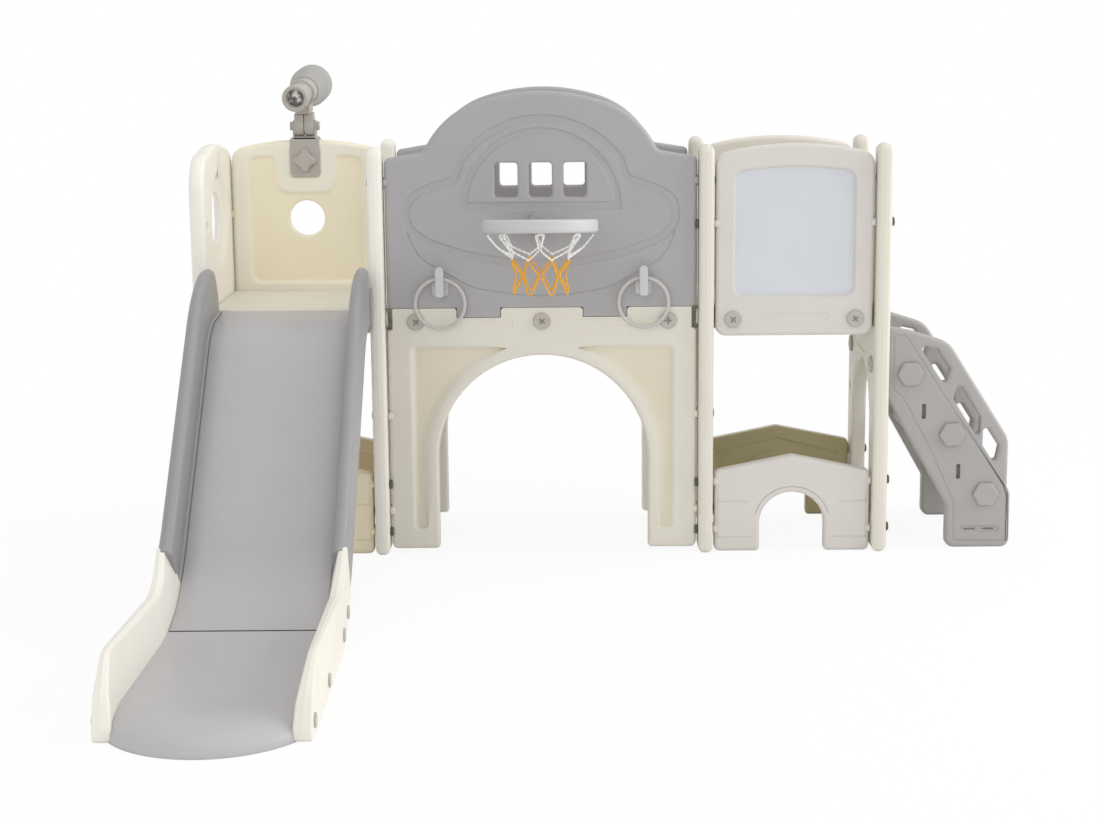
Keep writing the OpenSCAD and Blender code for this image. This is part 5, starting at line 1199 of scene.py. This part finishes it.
def bowl(radius, level, rise):
    return [(radius * cos(a), level + rise * sin(a)) for a in (pi / 2 * k / 8 for k in range(9))]


r, bore, wall, neck, collar = (scope[key] for key in ("tube", "bore", "wall", "neck", "collar"))
cupEnd, start = scope["cupEnd"], scope["hoodStart"]
deep = scope["footEdge"][0] / 2
bm = tubeMesh([(bore, cupEnd, 0), (neck, cupEnd, 0), (neck, -deep - wall, 3), (collar, -deep - wall, 2),
               (collar, -deep, 2), (r, -deep + wall, 2), (r, start, 0), (bore, start, 0)])
join(bm, Panel(*scope["footEdge"]).mould(box(*scope["foot"])), turned @ at(0, -deep, 0))
addPiece("telescope_tube", "body", bm, "trim_grey", body="telescope")

lens, sunk, thick, curve = scope["lens"]
e, cup, floor = scope["eye"], scope["eyepiece"], scope["eye"] + sunk
bm = tubeMesh([(lens, floor, 0), (lens + wall, e, 2), (cup, e, 3), (cup, cupEnd - wall, 3),
               (neck + 2.5, cupEnd, 1), (lens - 2, cupEnd, 0), (lens - 2, floor + thick, 0),
               (lens, floor + thick, 0)])
addPiece("eyepiece_cup", "body", bm, "trim_grey", body="telescope")
glass = [(0, thick), (lens - 0.1, thick)] + bowl(lens, curve, -curve)
addPiece("eyepiece_lens", "glass", lathe(glass, atTube @ at(0, 0, floor), 48), "lens", body="telescope")

h, end, flare = scope["hood"], scope["hoodEnd"], scope["hoodFlare"]
lens, seat, thick, curve = scope["objective"]
bm = tubeMesh([(bore, start, 0), (r + 2.5, start, 1.5), (r + wall, start + wall, 2),
               (r + wall, start + 10, 6), (h - wall, flare, 14), (h, flare + 10, 10), (h, end, 2.2),
               (h - wall, end, 2.2), (h - wall, seat, 0), (h - 10, seat, 0), (h - 10, flare + wall, 0),
               (bore, start + 10, 0)])
addPiece("objective_hood", "body", bm, "hoodGrey", body="telescope")
glass = [(0, 0), (lens - 0.1, 0)] + bowl(lens, thick - curve, curve)
addPiece("objective_lens", "glass", lathe(glass, atTube @ at(0, 0, seat), 64), "lens", body="telescope")

wide, radius, deep, top = scope["knuckle"]
shoulder = degrees(acos(deep / 2 / radius))
cheek = rounded([(deep / 2, top, 5), (-deep / 2, top, 5)]
                + sharp(arc(0, 0, radius, 180 - shoulder, 360 + shoulder, 36)))
core, shrink, coreEdge = scope["core"]
split, half, cheekEdge = scope["split"], wide / 2 - scope["split"], scope["cheekEdge"]
bm = bmesh.new()
for start, thick, edge, path in ((-wide / 2, half, cheekEdge, cheek), (split, half, cheekEdge, cheek),
                                 (-core / 2, core, coreEdge, inset(cheek, shrink))):
    join(bm, Panel(thick, edge).mould(path), tilted @ sideAt(start))
addPiece("tilt_knuckle", "body", bm, "trim_grey", body="knuckle")

ear, thick, radius = scope["ear"]
half, low, high, r = scope["clip"]
top = upper["top"] - scope["pin"][2]
deep, plate = scope["rearPlate"]
margin, bridgeEdge, corner = scope["bridge"]
clipEdge, plateY = scope["clipEdge"], scope["plateY"]
bm = bmesh.new()
for depth, edge, path, y in (
        (scope["plate"], clipEdge, box(-half, low, half, high, r), plateY),
        (plate, clipEdge, box(-half, deep, half, high, r), gym["panel"] / 2),
        (gym["panel"] + 8, bridgeEdge, box(-half + margin, top, half - margin, high, corner), plateY)):
    join(bm, Panel(depth, edge).mould(path), atPin @ at(0, y, 0))
for start in (-ear - thick, ear):
    lug = rounded([(-radius, top + 2, 2), (radius, top + 2, 2)] + sharp(arc(0, 0, radius, 0, 180, 20)))
    join(bm, Panel(thick, scope["earEdge"]).mould(lug), atPin @ sideAt(start))
addPiece("telescope_clip", "body", bm, "trim_grey")

x = scope["pinEnd"]
bm = bmesh.new()
for side in (-1, 1):
    lathe(roundedDisc(*scope["pinHead"]), atPin @ at(side * x, 0, 0) @ flip(side, 1) @ alongX, 32, bm=bm)
lathe(roundedDisc(scope["pinRadius"], 2 * x, 0.5), atPin @ at(-x, 0, 0) @ alongX, 24, bm=bm)
addPiece("tilt_pin", "body", bm, "trim_grey")


def starPath():
    hub, lobe, mean, power = scope["knob"]
    path = []
    for a in (2 * pi * k / 120 for k in range(120)):
        off = (a + pi / 4) % (pi / 2) - pi / 4
        reach = mean * cos(off) + sqrt(max(0, lobe ** 2 - (mean * sin(off)) ** 2))
        r = (hub ** power + reach ** power) ** (1 / power) if reach < hub + 4 else max(hub, reach)
        path.append((r * cos(a), r * sin(a)))
    return path


y = plateY - scope["knobEdge"][0] - scope["knobGap"]
star = Panel(*scope["knobEdge"]).mould(starPath())
addPiece("star_knob", "body", star, "trim_grey", atPin @ at(0, y, scope["knobZ"]), "knob")
print("telescope")

# Fasteners: one node tree sets a template on every place, turned by a seeded share of the given turn
fastener = {"seed": 5, "anyTurn": 6.28, "frontTurn": 0.3, "frontSpins": (45, 40, 0, 45, 38),
            "hexTurn": 0.6, "screw": (20, 6, 2), "cross": (18, 2.6, 2, 0.5), "bolt": (11, 9, 4),
            "socket": (4.6, 2.4, 0.4), "cap": (14, 5, 2), "hex": (56, 9, 4), "hexCorner": 6, "z": 567,
            "bridgeX": (-300, 0, 300), "towerX": 145, "cornerY": (15, 397), "cornerZ": 574,
            "stairZ": 0.83, "capDrop": 0.55,
            "stand": {"outer": (9, 0), "bridge": (8, 15), "tower": (3, 0)}}


def fastenerTree():
    tree = bpy.data.node_groups.new("fasteners", "GeometryNodeTree")
    for name, kind in (("Places", "Geometry"), ("Template", "Object"), ("Turn", "Float"), ("Seed", "Int"),
                       ("Finish", "Material")):
        tree.interface.new_socket(name, in_out="INPUT", socket_type="NodeSocket" + kind)
    tree.interface.new_socket("Set", in_out="OUTPUT", socket_type="NodeSocketGeometry")
    make = Shade(tree)
    inputs = {s.name: Shade(tree, s) for s in tree.nodes.new("NodeGroupInput").outputs if s.name}

    def attribute(name, kind):
        return make.node("GeometryNodeInputNamedAttribute", {"data_type": kind}, {"Name": name}, "Attribute")

    facing = attribute("facing", "FLOAT_VECTOR")
    aim = make.node("FunctionNodeAlignRotationToVector", {"axis": "Z"}, {"Vector": facing})
    chance = make.node("FunctionNodeRandomValue", {"data_type": "FLOAT"}, {"Seed": inputs["Seed"]}, 1)
    angle = attribute("spin", "FLOAT") + (chance - 0.5) * inputs["Turn"]
    spin = make.node("FunctionNodeAxisAngleToRotation", {}, {"Axis": (0, 0, 1), "Angle": angle})
    turn = make.node("FunctionNodeRotateRotation", {"rotation_space": "LOCAL"},
                     {"Rotation": aim, "Rotate By": spin})
    space = {"transform_space": "ORIGINAL"}
    shape = make.node("GeometryNodeObjectInfo", space, {"Object": inputs["Template"]}, "Geometry")
    sockets = {"Points": inputs["Places"], "Instance": shape, "Rotation": turn}
    placed = make.node("GeometryNodeInstanceOnPoints", {}, sockets)
    solid = make.node("GeometryNodeRealizeInstances", {}, {"Geometry": placed})
    painted = make.node("GeometryNodeSetMaterial", {}, {"Geometry": solid, "Material": inputs["Finish"]})
    make.node("NodeGroupOutput", {}, {"Set": painted})
    return tree


fasteners = fastenerTree()


def template(name, bm):
    mesh = smoothMesh(bm, name, finishes["trim_grey"], faceUp)
    mesh.transform(Matrix.Translation(-home))
    return bpy.data.objects.new(name, mesh)


def setFasteners(node, shape, places, finish, turn, spins=None):
    mesh = bpy.data.meshes.new(node + "Places")
    mesh.from_pydata([toFrame @ Vector(p) for p, facing in places], [], [])
    facings = mesh.attributes.new("facing", "FLOAT_VECTOR", "POINT")
    facings.data.foreach_set("vector", [c for p, facing in places for c in facing])
    spin = mesh.attributes.new("spin", "FLOAT", "POINT")
    spin.data.foreach_set("value", [radians(a) for a in spins or [0] * len(places)])
    carrier = addObject(node + "Places", mesh)
    modifier = carrier.modifiers.new("fasteners", "NODES")
    modifier.node_group = fasteners
    values = {"Template": shape, "Turn": turn, "Seed": fastener["seed"], "Finish": finishes[finish]}
    for item in fasteners.interface.items_tree:
        if item.name in values:
            modifier[item.identifier] = values[item.name]
    made = bpy.data.meshes.new_from_object(carrier.evaluated_get(bpy.context.evaluated_depsgraph_get()))
    carrier.modifiers.remove(modifier)
    bpy.data.objects.remove(carrier)
    made.name = node + "_set"
    addPiece(node, "set", made, finish)


def crossPath(length, width):
    a, b = length / 2, width / 2
    arm, corners = [(b, -a, 1), (b, -b, 0.5), (a, -b, 1)], []
    for quarter in range(4):
        corners += arm
        arm = [(-z, x, r) for x, z, r in arm]
    return rounded(corners, 3)


def headMesh(name, steps, front=()):
    radius, *size = fastener[name]
    return Panel(*size).mould(circle(0, 0, radius, steps), front)


length, wide, *depth = fastener["cross"]
screw = template("screw", headMesh("screw", 56, [cut(crossPath(length, wide), *depth)]))
radius, *depth = fastener["socket"]
bolt = template("bolt", headMesh("bolt", 36, [cut(circle(0, 0, radius, 6), *depth)]))
cap = template("cap", headMesh("cap", 32))
wide, *size = fastener["hex"]
hexagon = rounded([(*p, fastener["hexCorner"]) for p in circle(0, 0, wide / sqrt(3), 6)], 5)
hexCap = template("hexCap", Panel(*size).mould(hexagon))

z, high, turn = fastener["z"], fastener["screw"][1], fastener["anyTurn"]
rightX = [gym["towerX"] + s * fastener["towerX"] for s in (-1, 1)]
leftX = [-x for x in rightX]
front = [((x, -high, z), (0, -1, 0)) for x in (*fastener["bridgeX"], *rightX)]
setFasteners("panel_screws_front", screw, front, "trim_grey", fastener["frontTurn"], fastener["frontSpins"])
rear = [((x, gym["backY"] + high, z), (0, 1, 0)) for x in (*leftX, *fastener["bridgeX"], *rightX)]
setFasteners("panel_screws_rear", screw, rear, "trim_grey", turn)
z, rearY = fastener["cornerZ"], fastener["cornerY"][1]
corner = [((-s * (gym["innerX"] - high), y, z), (s, 0, 0)) for y in fastener["cornerY"] for s in (-1, 1)]
setFasteners("corner_screws", screw, corner + [((-gym["outerX"], rearY, z), (-1, 0, 0))], "trim_grey", turn)
z = stairs["height"] * fastener["stairZ"]
side = [((gym["towerOut"] - high, y + stairs["thick"] / 2, z), (-1, 0, 0)) for y in stairs["sides"]]
setFasteners("stair_screws", screw, side, "trim_grey", turn)

bolts = []
for x0, x1, heights, depths in ((-gym["innerX"], gym["innerX"], archBosses + domeBosses, gym["bossY"]),
                                (gym["towerIn"], gym["towerOut"], lowBosses + upperBosses, gym["bossY"]),
                                (-gym["towerOut"], -gym["towerIn"], lowBosses, gym["bossY"]),
                                (-gym["towerOut"], -gym["towerIn"], upperBosses, gym["bossY"][1:])):
    for y in depths:
        for z in heights:
            for x, s in ((x0 - gym["panel"], -1), (x1 + gym["panel"], 1)):
                side = "outer" if abs(x) >= gym["outerX"] else "bridge" if s * x < 0 else "tower"
                proud, shift = fastener["stand"][side]
                bolts.append(((x + s * proud, y + (-shift if y < gym["rearY"] else shift), z), (s, 0, 0)))
setFasteners("panel_bolts", bolt, bolts, "bolt_dark", turn)

outer = slide["half"] + slide["rail"] + fastener["cap"][1]
drop = fastener["capDrop"] * slide["bed"]
caps = [((-gym["towerX"] + s * outer, -f, bedHeight(f) - drop), (s, 0, 0))
        for f in (guardReach(share) for share in guard["screws"]) for s in (-1, 1)]
setFasteners("guard_screws", cap, caps, "trim_grey", turn)
thick = fastener["hex"][1]
hexes = [((gym["outerX"] + x, y + s * thick, z), (0, s, 0))
         for x, z in (onStairs(*p) for p in stairs["caps"]) for y, s in ((stairFront, -1), (stairRear, 1))]
setFasteners("stair_caps", hexCap, hexes, "stair_grey", fastener["hexTurn"])
for shape in (screw, bolt, cap, hexCap):
    bpy.data.objects.remove(shape)
print("fasteners")
